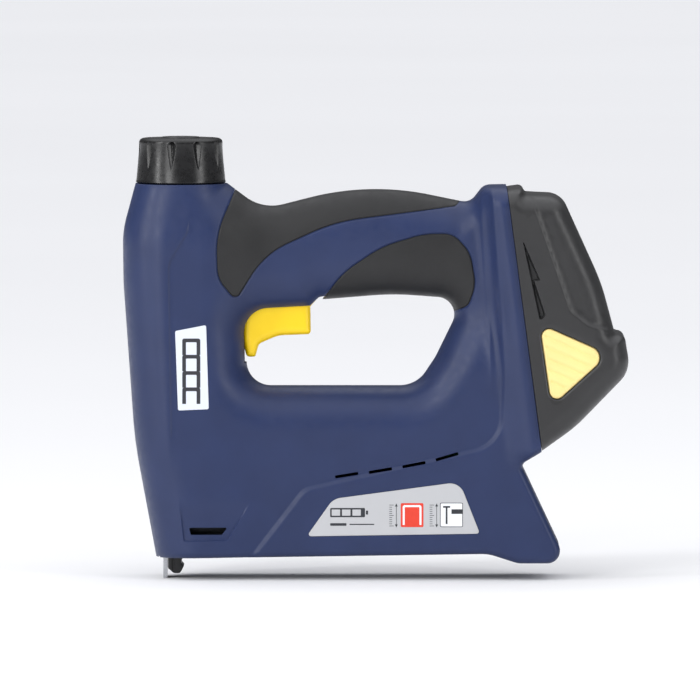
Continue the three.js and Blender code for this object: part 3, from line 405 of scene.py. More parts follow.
def surface_points(outlines, inset, rings, step, grid, rows):
    """Rings inside each outline, rows along the creases, and a staggered grid between."""
    def clearance(points):
        return np.min([distance(line, True, points) for line in outlines], axis=0)

    borders = [offset_line(spaced(line, True, step), inset if i == 0 else -inset)
               for i, line in enumerate(outlines)]
    taken = np.vstack(borders)
    for before, ring in zip(rings, rings[1:]):
        for i, line in enumerate(outlines):
            at = inset + ring
            fresh = offset_line(spaced(line, True, step), at if i == 0 else -at)
            fresh = fresh[clearance(fresh) > at * 0.98 - 0.002]
            taken = np.vstack([taken, thinned(taken, fresh, min(0.3, 0.6 * (ring - before)))])
    for row in rows:
        fresh = row[inside(borders[0], row)]
        for hole in borders[1:]:
            fresh = fresh[~inside(hole, fresh)]
        fresh = fresh[clearance(fresh) > inset + 0.15]
        taken = np.vstack([taken, thinned(taken, fresh, 0.14)])
    low, high = outlines[0].min(axis=0), outlines[0].max(axis=0)
    lattice = []
    for k, z in enumerate(np.arange(low[1], high[1], grid * 0.87)):
        xs = np.arange(low[0] + (k % 2) * grid / 2, high[0], grid)
        lattice.append(np.column_stack([xs, np.full(len(xs), z)]))
    lattice = np.vstack(lattice)
    lattice = lattice[inside(borders[0], lattice)]
    for hole in borders[1:]:
        lattice = lattice[~inside(hole, lattice)]
    lattice = lattice[clearance(lattice) > inset + rings[-1] + grid * 0.3]
    taken = np.vstack([taken, thinned(taken, lattice, grid * 0.55)])
    return taken, borders


def slab(name, outlines, front, back, side=-1, inset=0, rings=(0,), step=1.2, grid=2, rows=()):
    """A closed body between two depths to one side of the parting plane."""
    points, borders = surface_points(outlines, inset, rings, step, grid, rows)
    edges, start = [], 0
    for border in borders:
        count = len(border)
        edges += [(start + i, start + (i + 1) % count) for i in range(count)]
        start += count
    verts, _, faces, *_ = geometry.delaunay_2d_cdt(
        [Vector(point) for point in points], edges, [], 0, 1e-6)
    flat = np.array([vert[:] for vert in verts])
    faces = np.array([list(face) for face in faces])
    centres = flat[faces].mean(axis=1)
    keep = inside(borders[0], centres)
    for hole in borders[1:]:
        keep &= ~inside(hole, centres)
    faces = faces[keep]
    used, faces = np.unique(faces, return_inverse=True)
    faces = faces.reshape(-1, 3)
    flat = flat[used]
    count = len(flat)
    near = side * np.broadcast_to(front(flat), count)
    far = side * np.broadcast_to(back(flat), count)
    body = [np.column_stack([flat[:, 0], y, flat[:, 1]]) for y in (near, far)]
    owned = {(int(f[k]), int(f[(k + 1) % 3])) for f in faces for k in range(3)}
    rim = [(a, a + count, b + count, b) for a, b in owned if (b, a) not in owned]
    shell = [tuple(map(int, f)) for f in faces]
    shell += [tuple(int(v) + count for v in f[::-1]) for f in faces] + rim
    if side > 0:
        shell = [face[::-1] for face in shell]
    return new_object(name, np.vstack(body), shell)


def beside(line, closed, offsets, step=1.0):
    """Rows of points that follow a line at the given distances."""
    base = spaced(line, closed, step)
    return [offset_line(base, at, closed) for at in offsets]


# ---- depth of the housing ----

GROOVE_OFFSETS = [-1, -0.7, -0.45, -0.2, 0, 0.2, 0.45, 0.7, 1]


def seam_place(points):
    """How far points lie beyond the battery seam, and how far up along it."""
    dx, dz = (points - SEAM_FOOT).T
    c, s = math.cos(SEAM_TILT), math.sin(SEAM_TILT)
    return c * dx + s * dz, c * dz - s * dx


def side_depth(points):
    x, z = points.T
    head = 1 - smooth(x, -80, -48)
    handle = smooth(z, 92, 128) * (1 - head)
    neck = head * smooth(z, 150, NECK_TOP)
    out, up = seam_place(points)
    flare = smooth(out, -17, -3) * smooth(up, -8, 2)
    body = (BASE_DEPTH + head * (HEAD_DEPTH - BASE_DEPTH)
            - handle * (BASE_DEPTH - HANDLE_DEPTH) - neck * (HEAD_DEPTH - NECK_DEPTH))
    side = np.where(inside(raised_area, points), 1, -1)
    beyond = side * distance(swage_line, False, points)
    spread = 2.4 * smooth(z, 110, 165)
    step = smooth(beyond, -1 - spread, 1.4 + spread)
    return mix(body, FLANGE_DEPTH, flare) + SWAGE_STEP * step * (1 - flare)


def housing_depth(points, inset=0):
    on_flange = smooth(points[:, 0], 36, 50)
    edges = [
        (distance(front_line, False, points), 20, 0),
        (distance(crown_line, False, points), mix(23, BOX_ROUND, on_flange), BOX_FLAT * on_flange),
        (distance(opening_line, True, points), 20, 0),
        (distance(sole_line, False, points), 3, SOLE_FLAT),
    ]
    rise = 1
    for at, radius, flat in edges:
        rise = rise * mix(flat, 1, bulge(at - inset, np.maximum(radius - inset, 1.5)))
    return LAND + (side_depth(points) - inset - LAND) * rise


def groove(points, line, closed, width, depth):
    return depth * (1 - smooth(distance(line, closed, points), 0, width))


BEAD = {"half": 1.3, "height": 0.8, "second": -5.5}  # two upright beads on the rear column


def moulded_depth(points):
    """The outer skin, with the grooves, creases and panels that show on it."""
    depth = housing_depth(points)
    for line in (top_grip_line, lower_grip_line):
        depth = depth - groove(points, line, True, 0.75, 0.6)
    x, z = points.T
    side = np.where(inside(raised_area, points), 1, -1)
    beyond = side * distance(swage_line, False, points)
    beads = sum(np.exp(-((beyond - at) / BEAD["half"]) ** 2) for at in (0, BEAD["second"]))
    depth = depth + BEAD["height"] * beads * smooth(z, 80, 112)
    fade = smooth(z, 40, 70) * (1 - smooth(z, 158, 166))
    front_of_crease = np.where(x < np.interp(z, crease_line[::-1, 1], crease_line[::-1, 0]), 1, -1)
    step = smooth(front_of_crease * distance(crease_line, False, points), -0.5, 0.5)
    depth = depth + 0.6 * step * fade * (1 - smooth(-x, 95, 104))
    panel = np.vstack([panel_line, [[-55.4, 60], [-88.9, 60]]])
    sunk = np.where(inside(panel, points), 1, -1) * distance(panel_line, False, points)
    depth = depth - 1.1 * smooth(sunk, -0.3, 0.5) * (1 - smooth(z, 25, 37.5))
    return depth


def housing_rows():
    rows = beside(swage_line, False, [-2.4, -1.7, -1, -0.6, -0.2, 0.2, 0.6, 1, 1.4, 1.9, 2.8])
    for side in (-1, 1):
        rows += beside(swage_line, False, [side * at for at in (4.2, 4.8, 5.5, 6.2, 6.8)])
    rows += beside(top_grip_line, True, GROOVE_OFFSETS)
    rows += beside(lower_grip_line, True, GROOVE_OFFSETS)
    rows += beside(crease_line, False, [-0.5, -0.25, 0, 0.25, 0.5])
    rows += beside(panel_line, False, [-0.6, -0.3, 0, 0.3], 0.5)
    return rows


def housing_half(name, depth, inset=0, back=GAP / 2, rings=(0,), step=1.2, grid=2, rows=()):
    return slab(name, [housing_line, opening_line], depth, level(back), inset=inset,
                rings=rings, step=step, grid=grid, rows=rows)


# ---- materials ----


def linear(*channels):
    return tuple(((c / 255 + 0.055) / 1.055) ** 2.4 if c > 10 else c / 3294.6
                 for c in channels) + (1,)


def shader(name):
    material = bpy.data.materials.new(name)
    material.use_nodes = True
    tree = material.node_tree
    surface = tree.nodes["Principled BSDF"]
    place = tree.nodes.new("ShaderNodeTexCoord").outputs["Object"]
    return material, tree, surface, place


def noise(tree, place, feature, detail=2, stretch=None):
    """Noise whose features have the given size in millimetres."""
    if stretch:
        mapping = tree.nodes.new("ShaderNodeMapping")
        mapping.inputs["Scale"].default_value = stretch
        tree.links.new(place, mapping.inputs["Vector"])
        place = mapping.outputs["Vector"]
    node = tree.nodes.new("ShaderNodeTexNoise")
    node.inputs["Scale"].default_value = 1 / (feature * MM)
    node.inputs["Detail"].default_value = detail
    tree.links.new(place, node.inputs["Vector"])
    return node.outputs["Fac"]


def ranged(tree, value, low, high, start=0.3, end=0.7):
    node = tree.nodes.new("ShaderNodeMapRange")
    node.inputs["From Min"].default_value = start
    node.inputs["From Max"].default_value = end
    node.inputs["To Min"].default_value = low
    node.inputs["To Max"].default_value = high
    tree.links.new(value, node.inputs["Value"])
    return node.outputs["Result"]


def blended(tree, share, first, second):
    node = tree.nodes.new("ShaderNodeMix")
    node.data_type = "RGBA"
    tree.links.new(share, node.inputs["Factor"])
    for value, socket in ((first, node.inputs[6]), (second, node.inputs[7])):
        if isinstance(value, tuple):
            socket.default_value = value
        else:
            tree.links.new(value, socket)
    return node.outputs[2]


def tinted(colour, factor):
    return tuple(min(1, channel * factor) for channel in colour[:3]) + (1,)


def bumped(tree, surface, height, strength, depth):
    node = tree.nodes.new("ShaderNodeBump")
    node.inputs["Strength"].default_value = strength
    node.inputs["Distance"].default_value = depth * MM
    tree.links.new(height, node.inputs["Height"])
    tree.links.new(node.outputs["Normal"], surface.inputs["Normal"])


def plastic(name, colour, roughness, grain=0.5, depth=0.02, spread=0.06, worn=1.35, specular=0.5):
    """Moulded plastic: fine spark-eroded grain, faint mottling and rubbed edges."""
    material, tree, surface, place = shader(name)
    mottling = ranged(tree, noise(tree, place, 14, 3), 0, 1)
    body = blended(tree, mottling, tinted(colour, 1 - spread), tinted(colour, 1 + spread))
    edge = tree.nodes.new("ShaderNodeNewGeometry").outputs["Pointiness"]
    scuffs = ranged(tree, noise(tree, place, 1.6, 3), 0, 1, 0.45, 0.62)
    rubbed = ranged(tree, edge, 0, 0.5, 0.52, 0.6)
    share = tree.nodes.new("ShaderNodeMath")
    share.operation = "MULTIPLY"
    tree.links.new(rubbed, share.inputs[0])
    tree.links.new(scuffs, share.inputs[1])
    skin = blended(tree, share.outputs[0], body, tinted(colour, worn))
    tree.links.new(skin, surface.inputs["Base Color"])
    rough = ranged(tree, noise(tree, place, 3, 4), roughness - 0.05, roughness + 0.07)
    tree.links.new(rough, surface.inputs["Roughness"])
    surface.inputs["Specular IOR Level"].default_value = specular
    bumped(tree, surface, noise(tree, place, grain, 3), 0.5, depth)
    return material


def soft_rubber(name, colour, roughness):
    """Overmoulded soft plastic with a pebbled skin."""
    material, tree, surface, place = shader(name)
    cells = tree.nodes.new("ShaderNodeTexVoronoi")
    cells.inputs["Scale"].default_value = 1 / (0.9 * MM)
    tree.links.new(place, cells.inputs["Vector"])
    dust = ranged(tree, noise(tree, place, 22, 3), 0, 1)
    tone = blended(tree, dust, tinted(colour, 0.92), tinted(colour, 1.12))
    tree.links.new(tone, surface.inputs["Base Color"])
    rough = ranged(tree, noise(tree, place, 5, 3), roughness - 0.06, roughness + 0.06)
    tree.links.new(rough, surface.inputs["Roughness"])
    surface.inputs["Specular IOR Level"].default_value = 0.35
    bumped(tree, surface, cells.outputs["Distance"], 0.45, 0.05)
    return material


def metal(name, colour, roughness, stretch=(1, 1, 14), smudge=0.15):
    """Drawn or ground metal: fine lines one way, and soft smudges."""
    material, tree, surface, place = shader(name)
    lines = noise(tree, place, 0.6, 3, stretch)
    smudges = ranged(tree, noise(tree, place, 9, 3), 0, 1)
    tone = blended(tree, smudges, tinted(colour, 1 - smudge), colour)
    tree.links.new(tone, surface.inputs["Base Color"])
    rough = ranged(tree, lines, roughness - 0.08, roughness + 0.12)
    tree.links.new(rough, surface.inputs["Roughness"])
    surface.inputs["Metallic"].default_value = 1
    bumped(tree, surface, lines, 0.3, 0.01)
    return material


def circuit_board(name):
    material, tree, surface, place = shader(name)
    tracks = noise(tree, place, 2.2, 1, (1, 1, 5))
    tone = blended(tree, ranged(tree, tracks, 0, 1, 0.48, 0.52), linear(20, 92, 48),
                   linear(34, 124, 66))
    tree.links.new(tone, surface.inputs["Base Color"])
    surface.inputs["Roughness"].default_value = 0.35
    bumped(tree, surface, tracks, 0.3, 0.03)
    return material


LOOKS = {
    "housing_blue": plastic("housing_blue", linear(39, 51, 88), 0.4, 0.45, 0.02, specular=0.35),
    "soft_grip": soft_rubber("soft_grip", linear(37, 37, 38), 0.5),
    "label_grey": plastic("label_grey", linear(190, 191, 194), 0.45, 0.3, 0.004, 0.015, 1.02),
    "badge_white": plastic("badge_white", linear(222, 228, 240), 0.4, 0.3, 0.004, 0.015, 1.02),
    "knob_black": plastic("knob_black", linear(25, 25, 26), 0.27, 0.4, 0.006, 0.05, 1.15),
    "dark_plastic": plastic("dark_plastic", linear(44, 44, 45), 0.4, 0.5, 0.02, 0.06, 1.3),
    "trigger_yellow": plastic("trigger_yellow", linear(252, 212, 14), 0.36, 0.5, 0.01, 0.03, 1.05),
    "button_yellow": plastic("button_yellow", linear(250, 224, 148), 0.42, 0.5, 0.01, 0.03, 1.05),
    "bright_steel": metal("bright_steel", linear(196, 198, 202), 0.28),
    "dark_steel": metal("dark_steel", linear(72, 74, 78), 0.38),
    "brass": metal("brass", linear(204, 164, 84), 0.32),
    "black_rubber": soft_rubber("black_rubber", linear(34, 34, 36), 0.7),
    "board_green": circuit_board("board_green"),
    "cell_green": plastic("cell_green", linear(64, 146, 98), 0.35, 0.4, 0.004),
    "wire_red": soft_rubber("wire_red", linear(178, 38, 30), 0.5),
    "wire_black": soft_rubber("wire_black", linear(26, 26, 28), 0.5),
}
PRINT_DARK = plastic("print_dark", linear(44, 46, 52), 0.5, 0.3, 0.002, 0.05, 1.05)
PRINT_RED = plastic("print_red", linear(226, 62, 40), 0.5, 0.3, 0.002, 0.03, 1.05)
NOSE_BLACK = plastic("nose_black", linear(22, 22, 24), 0.34, 0.5, 0.015, 0.05, 2)
PRINT_WHITE = plastic("print_white", linear(240, 242, 246), 0.5, 0.3, 0.002, 0.02, 1.02)


def placed(obj, slot, body, *nodes):
    """Finishes a piece, ties it to its body and lets it stand in for frame nodes."""
    finished(obj, LOOKS[slot])
    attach(obj, body)
    if nodes:
        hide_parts(*nodes)
    return obj


# ---- housing and grips ----

VENT = {"length": 10.6, "thickness": 1.4}
VENTS = [(-12.9, 47.9, 0.16), (2.4, 50, 0.17), (17.6, 52.7, 0.19), (32.6, 56.3, 0.28)]
SCREWS = [(-76, 167), (-70, 106), (2, 157), (52, 160), (47, 92), (66, 40), (-76, 36)]
SCREW = {"head": 3.2, "shank": 1.5, "face": 10, "tip": -9}
PLUG = {"out": -14, "low": 74, "high": 98, "half": 11}
WHEEL_Z = 62
MOTOR_RADIUS = 13.85
SPIGOT_RADIUS = 14.4
FAR = 60
RIB = 2.5
WALL_REACH = 30  # past the skin, which trims the cross walls
BOSS_RADIUS = 4.3
GUIDE_WALLS = (104, 128)  # heights of the cross walls round the hammer guide
MOTOR_WALLS = (-22, 16)  # places along X of the cross walls round the motor
TRAY_TOP = TRAY_FLOOR + 16.5
PIN = {"x": -25, "z": 132.6, "half": 11, "radius": 1.9}

# hollows through both halves: low and high x, half width, low and high z
NOSE_BAY = (-98.4, -85.9, 10.4, -5, 41)
TRAY_SLOT = (-90, 61.5, 7.5, -5, TRAY_FLOOR + 3)
CHANNEL_BAY = (-86.3, 60, 8.4, TRAY_FLOOR + 1.3, TRAY_TOP)
TRAY_MOUTH = (59, 130, 8.4, TRAY_FLOOR - GAP, TRAY_TOP)
TRIGGER_BAY = (-65.6, -18.6, 8.3, 98, 139)


def seam_matrix():
    return Matrix.Translation((SEAM_FOOT[0] * MM, 0, SEAM_FOOT[1] * MM)) @ Matrix.Rotation(
        -SEAM_TILT, 4, "Y")


def at_seam(obj):
    obj.data.transform(seam_matrix())
    return obj


def vent_slot(x, z, slope):
    half = VENT["length"] / 2
    lean = VENT["thickness"] / 2
    corners = [[-half, -lean, 0.3], [half, -lean, 0.3], [half, lean, 0.3], [-half, lean, 0.3]]
    line = rounded_line(corners, True, 0.3)
    c, s = math.cos(slope), math.sin(slope)
    turned = line @ np.array([[c, s], [-s, c]])
    return prism(turned + (x, z), -FAR, FAR)


def centred_box(x0, x1, half, z0, z1):
    return box(x0, x1, -half, half, z0, z1)


def common_openings():
    """Solids for the holes that both halves share."""
    yield rod((AXIS_X, 0, 160), (AXIS_X, 0, 220), 7, 40)
    for bay in (NOSE_BAY, TRAY_SLOT, CHANNEL_BAY, TRAY_MOUTH):
        yield centred_box(*bay)
    yield prism(window_line, -FAR, FAR)
    yield centred_box(*TRIGGER_BAY)
    yield rod((PIN["x"], -PIN["half"], PIN["z"]), (PIN["x"], PIN["half"], PIN["z"]), PIN["radius"])
    yield at_seam(box(-30, 5, -PLUG["half"] - GAP, PLUG["half"] + GAP,
                      PLUG["low"] - GAP, PLUG["high"] + GAP))
    for vent in VENTS:
        yield vent_slot(*vent)


def spigot():
    """Half of the collar that the knob turns on."""
    collar = rod((AXIS_X, 0, NECK_TOP - WALL), (AXIS_X, 0, NECK_TOP + 3), SPIGOT_RADIUS, 64)
    return common(collar, box(AXIS_X - 20, AXIS_X + 20, -FAR, -GAP / 2, NECK_TOP - 5, NECK_TOP + 5))


def inner_ribs():
    """Bosses for the case screws and cross walls round the hammer guide and the motor."""
    guide_radius = (guide_high.x - guide_low.x) / 2
    ribs = None
    for z in GUIDE_WALLS:
        wall = centred_box(-118, -70, WALL_REACH, z, z + RIB)
        wall = cut(wall, rod((AXIS_X, 0, 90), (AXIS_X, 0, 150), guide_radius + 2 * GAP, 48))
        ribs = join(ribs, wall) if ribs else wall
    for x in MOTOR_WALLS:
        wall = centred_box(x, x + RIB, WALL_REACH, 40, 92)
        wall = cut(wall, rod((-40, 0, WHEEL_Z), (40, 0, WHEEL_Z), MOTOR_RADIUS + 2 * GAP, 48))
        ribs = join(ribs, wall)
    for x, z in SCREWS:
        ribs = join(ribs, rod((x, -HEAD_DEPTH, z), (x, HEAD_DEPTH, z), BOSS_RADIUS))
    return ribs


def drilled(half):
    """The right half, with the holes that take the case screws."""
    for x, z in SCREWS:
        half = cut(half, rod((x, -5, z), (x, FAR, z), SCREW["shank"] + GAP))
        half = cut(half, rod((x, SCREW["face"] - 2.8, z), (x, FAR, z), SCREW["head"] + GAP, 32))
    return half


def build_housing():
    rings = edge_rings(20, 15)
    outer = housing_half("outer", moulded_depth, rings=rings, rows=housing_rows())
    coarse = {"rings": edge_rings(20, 8), "step": 2.4, "grid": 5}
    pocket = housing_half("pocket", lambda p: housing_depth(p, POCKET), POCKET, **coarse)
    core_inset = POCKET - GAP - 0.1
    core = housing_half("core", lambda p: housing_depth(p, core_inset), core_inset, **coarse)
    hollow = housing_half("hollow", lambda p: housing_depth(p, WALL), WALL, -3, **coarse)

    grips = {}
    for grip, line in (("grip_top", top_grip_line), ("grip_lower", lower_grip_line)):
        piece = common(copied(outer, grip), prism(offset_line(line, GAP / 2), -FAR, 0))
        grips[grip] = cut(piece, copied(core, "cutter"))
    bpy.data.objects.remove(core)

    shell = outer
    shell = cut(shell, prism(top_grip_line, -FAR, 5))
    shell = cut(shell, prism(lower_grip_line, -FAR, 5))
    inner = common(inner_ribs(), copied(pocket, "cutter"))
    shell = join(shell, pocket)
    shell = cut(shell, hollow)
    shell = join(shell, inner)
    shell = join(shell, spigot())
    for line, face in ((label_line, label_high.y), (badge_line, badge_high.y)):
        shell = cut(shell, prism(line, -FAR, face - GAP))
    for opening in common_openings():
        shell = cut(shell, opening)
    for x, z in SCREWS:
        shell = cut(shell, rod((x, SCREW["tip"] - GAP, z), (x, 5, z), SCREW["shank"] + GAP))

    right = drilled(mirrored(shell, "shell_right"))
    shell.name = "shell_left"
    placed(shell, "housing_blue", "housing", "housing_left")
    placed(right, "housing_blue", "housing", "housing_right")
    for grip, piece in grips.items():
        twin = mirrored(piece, grip + "_skin_right")
        piece.name = grip + "_skin_left"
        placed(piece, "soft_grip", "housing", grip + "_left")
        placed(twin, "soft_grip", "housing", grip + "_right")


# ---- label, badge and what is printed on them ----


def plate(name, line, face, thickness, side, soften=0.25):
    """A flat plate whose outer edge is softened."""
    edge = offset_line(line, GAP / 2)
    def front(points):
        return face - soften + soften * bulge(distance(edge, True, points), soften)
    rings = (0, 0.02, 0.07, 0.15, soften, 0.6)
    return slab(name, [edge], front, level(face - thickness), side, rings=rings, step=0.8, grid=3)


def bar(x0, x1, z0, z1, radius=0):
    corners = [[x0, z0, radius], [x1, z0, radius], [x1, z1, radius], [x0, z1, radius]]
    return rounded_line(corners, True, 0.3)


def staple_shape(x0, x1, z0, z1, thick):
    """An upside-down U."""
    return rounded_line([
        [x0, z0], [x0, z1, 1], [x1, z1, 1], [x1, z0], [x1 - thick, z0],
        [x1 - thick, z1 - thick, 0.4], [x0 + thick, z1 - thick, 0.4], [x0 + thick, z0],
    ], True, 0.3)


def nail_shape(x, z0, z1, head, thick):
    return np.array([
        [x - thick / 2, z0], [x + thick / 2, z0], [x + thick / 2, z1 - thick],
        [x + head / 2, z1 - thick], [x + head / 2, z1], [x - head / 2, z1],
        [x - head / 2, z1 - thick], [x - thick / 2, z1 - thick],
    ])


def arrow_shape(x, z0, z1, width, thick):
    """A thin upright arrow with a head at both ends."""
    tip = width * 1.1
    return np.array([
        [x, z0], [x + width / 2, z0 + tip], [x + thick / 2, z0 + tip],
        [x + thick / 2, z1 - tip], [x + width / 2, z1 - tip], [x, z1],
        [x - width / 2, z1 - tip], [x - thick / 2, z1 - tip], [x - thick / 2, z0 + tip],
        [x - width / 2, z0 + tip],
    ])


STICKER = 0.8  # thickness of the label and the badge
INK = 0.03  # each layer of print stands this much prouder than the one below


def label_prints():
    """Plain signs: a battery, lengths, a staple and a nail. (layer, ink, outline)"""
    signs = [(1, PRINT_DARK, bar(-20.4, -4.6, 28.9, 33.1, 0.5)),
             (1, PRINT_DARK, bar(-4.2, -3.2, 30.1, 31.9, 0.2))]
    signs += [(2, LOOKS["label_grey"], bar(x, x + 3.8, 29.6, 32.4, 0.2))
              for x in (-19.7, -15, -10.3)]
    signs += [(1, PRINT_DARK, bar(-20.4, -13, 25, 26.2, 0.3)),
              (1, PRINT_DARK, bar(-11.6, -0.4, 25.4, 25.9, 0.1))]
    signs += [(1, PRINT_RED, bar(11.6, 21.9, 24.4, 35.3, 0.6)),
              (2, PRINT_WHITE, staple_shape(12.5, 21, 25.4, 34.4, 0.9)),
              (1, PRINT_DARK, bar(29.4, 39.8, 24.4, 35.5, 0.7)),
              (2, PRINT_WHITE, bar(29.7, 39.5, 24.7, 35.2, 0.5)),
              (3, PRINT_DARK, nail_shape(32.4, 25.8, 34, 3.2, 0.8)),
              (3, PRINT_DARK, bar(34.6, 39.5, 30.4, 32.5))]
    for x in (9.6, 27.9):
        signs.append((1, PRINT_DARK, arrow_shape(x, 24.2, 35.2, 1.3, 0.25)))
        signs += [(1, PRINT_DARK, bar(x - 3.2, x - (1.9 if k % 5 else 1.2), z, z + 0.25))
                  for k, z in enumerate(np.linspace(24.8, 34.3, 11))]
    return signs


def badge_prints():
    """A strip of staples seen end on."""
    return [(1, PRINT_DARK, staple_shape(-87.4, -79.2, z, z + 7.5, 1.7))
            for z in (80.4, 87.8, 95.2, 102.6)]


def print_layer(name, signs, face, side, body):
    """Thin inlays of ink, one object per ink, on a flat face."""
    by_ink = {}
    for layer, ink, line in signs:
        by_ink.setdefault(ink.name, (ink, []))[1].append((layer, line))
    for ink_name, (ink, marks) in by_ink.items():
        verts, faces = [], []
        for layer, line in marks:
            mark = prism(line, side * (face - 0.2), side * (face + layer * INK))
            start = len(verts)
            verts += [vert.co / MM for vert in mark.data.vertices]
            faces += [tuple(start + v for v in poly.vertices) for poly in mark.data.polygons]
            bpy.data.objects.remove(mark)
        obj = new_object(f"{name}_{ink_name}", [vert[:] for vert in verts], faces)
        finished(obj, ink)
        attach(obj, body)


def build_labels():
    for side, word in ((-1, "left"), (1, "right")):
        label, badge = abs(label_low.y), abs(badge_low.y)
        placed(plate(f"label_{word}", label_line, label, STICKER, side), "label_grey",
               "housing", f"rating_label_{word}")
        placed(plate(f"badge_{word}", badge_line, badge, STICKER, side), "badge_white",
               "housing", f"side_badge_{word}")
        print_layer(f"label_print_{word}", label_prints(), label, side, "housing")
        print_layer(f"badge_print_{word}", badge_prints(), badge, side, "housing")


# ---- knob ----

FLUTES = 10
FLUTE_TURN = 0.108
KNOB_TAPER = 1.6
KNOB_SHOULDER = 198
SCREW_BORE = 4
FLUTE = {"low": 186.2, "high": 198.9, "half": 2.5, "depth": 2}


def flute_cut(angle, z):
    """How deep the flutes cut into the side of the knob."""
    pitch = 2 * math.pi / FLUTES
    offset = (angle - FLUTE_TURN + pitch / 2) % pitch - pitch / 2
    climb = np.clip((z - FLUTE["low"]) / (FLUTE["high"] - FLUTE["low"]), 0, 1)
    half = FLUTE["half"] * climb ** 0.7 * np.sqrt(np.clip((1 - climb) / 0.12, 0, 1))
    across = np.abs(offset) * KNOB_RADIUS / np.maximum(half, 1e-6)
    return FLUTE["depth"] * climb ** 0.8 * np.clip(1 - across, 0, 1) * (half > 0.01)


def turned(name, profile, sides, carve=None):
    """A body of revolution on the knob's axis; carve takes the angle and height."""
    angles = np.linspace(0, 2 * math.pi, sides, endpoint=False)
    verts, faces = [], []
    for r, z in profile:
        radius = r - (carve(angles, np.full(sides, z)) if carve and r > KNOB_RADIUS * 0.8 else 0)
        verts.append(np.column_stack([AXIS_X + radius * np.cos(angles),
                                      radius * np.sin(angles), np.full(sides, z)]))
    for row in range(len(profile) - 1):
        a, b = row * sides, (row + 1) * sides
        faces += [(a + i, a + (i + 1) % sides, b + (i + 1) % sides, b + i) for i in range(sides)]
    faces.append(tuple(reversed(range(sides))))
    faces.append(tuple(range((len(profile) - 1) * sides, len(profile) * sides)))
    return new_object(name, np.vstack(verts), faces)


def build_knob():
    bottom = knob_low.z
    side = [(KNOB_RADIUS - KNOB_TAPER * smooth(z, bottom - 6, 197.5), z)
            for z in np.linspace(bottom + 1.2, KNOB_SHOULDER, 64)]
    top = KNOB_TOP - 0.6
    shoulder = [(KNOB_RADIUS - KNOB_TAPER - 2.2 * (1 - math.cos(a)),
                 KNOB_SHOULDER + (top - KNOB_SHOULDER) * math.sin(a))
                for a in np.linspace(0.1, math.pi / 2, 12)]
    profile = [(KNOB_RADIUS - 0.9, bottom), (KNOB_RADIUS - 0.4, bottom + 0.15),
               (KNOB_RADIUS - 0.1, bottom + 0.5), *side, *shoulder,
               (15.2, top), (14.9, top - 0.3), (14.9, top - 0.8)]
    knob = turned("knob_body", profile, 720, flute_cut)
    knob = cut(knob, rod((AXIS_X, 0, 170), (AXIS_X, 0, NECK_TOP + 4.5), SPIGOT_RADIUS + 0.6, 64))
    knob = cut(knob, rod((AXIS_X, 0, 170), (AXIS_X, 0, 195), SCREW_BORE + GAP, 32))
    placed(knob, "knob_black", "knob", "power_knob")
    cap = turned("knob_disc", [
        (14.4, top - 0.7), (14.6, top - 0.5), (14.6, top - 0.15), (14.4, top), (8.9, top),
        (8.7, top + 0.1), (8.6, KNOB_TOP - 0.15), (8.4, KNOB_TOP), (6, KNOB_TOP),
        (5.8, KNOB_TOP - 0.1), (5.6, KNOB_TOP - 0.12), (1, KNOB_TOP - 0.12)], 96)
    placed(cap, "dark_plastic", "knob", "knob_cap")


# ---- trigger ----


def build_trigger():
    def front(points):
        at = distance(trigger_line, True, points)
        return LAND + (TRIGGER_HALF - LAND) * mix(0.55, 1, bulge(at, 3.2))
    def back(points):
        return -front(points)
    trigger = slab("trigger_lever", [trigger_line], front, back, rings=edge_rings(3.2, 9, 0.98),
                   step=0.5, grid=1.2)
    placed(trigger, "trigger_yellow", "trigger", "trigger")


# ---- nose ----

NOSE_SIDE = [
    [-94.2, 33], [-94.2, 4.6, 0.8], [-91.6, 2.2, 2.4], [-88.6, 2.2, 2], [-86.9, 5.6, 0.5],
    [-88, 6.8, 0.6], [-88, 8.4, 0.6], [-87, 9.6, 0.6], [-87, 33],
]
NOSE = {"half": 9.2, "tongue": 7.5, "top": 33, "shoulder": 10}
BLADE_X = -90.95
BLADE_SLOT = {"front": 0.9, "rear": 0.75, "half": 6.1}
NOSE_FLUTE = {"x": -91.9, "low": 3.4, "radius": 0.55}


def softened_prism(name, line, half, soften):
    """A block with rounded rims on both sides."""
    def front(points):
        return half - soften + soften * bulge(distance(line, True, points), soften)
    def back(points):
        return -front(points)
    rings = (0, *(soften * share for share in (0.06, 0.2, 0.45, 1)))
    return slab(name, [line], front, back, rings=rings, step=0.5, grid=1.5)


def build_nose():
    """A rounded black block with a flute down each side, behind the steel contact."""
    block = softened_prism("nose_foot", rounded_line(NOSE_SIDE, True, 0.4), NOSE["tongue"], 0.6)
    core = centred_box(-94.2, -86.9, NOSE["half"], NOSE["shoulder"], NOSE["top"])
    block = join(block, core)
    half = BLADE_SLOT["half"]
    block = cut(block, centred_box(BLADE_X - BLADE_SLOT["front"], BLADE_X + BLADE_SLOT["rear"],
                                   half, 0, 40))
    block = cut(block, centred_box(BLADE_X, -80, half, TRAY_FLOOR - 1, TRAY_FLOOR + 14.3))
    x, low = NOSE_FLUTE["x"], NOSE_FLUTE["low"]
    for side in (-1, 1):
        y = side * NOSE["tongue"]
        flute = rod((x, y, low), (x, y, NOSE["shoulder"] - 0.5), NOSE_FLUTE["radius"], 24)
        block = cut(block, flute)
    placed(block, "dark_plastic", "housing", "nose_block")
    finished(block, NOSE_BLACK)


# ---- battery ----

BATTERY_WALL = 2.5
BUTTON_SLOPE = math.atan2(18.2, 30.1)
GRIP_GROOVES = 5
GROOVE_PITCH = 4.45
GROOVE_DEPTH = 0.6
GROOVE_START = (20, 47.9)
BUTTON_SEAT = 22.8
FLANGE_FACE = 24.6


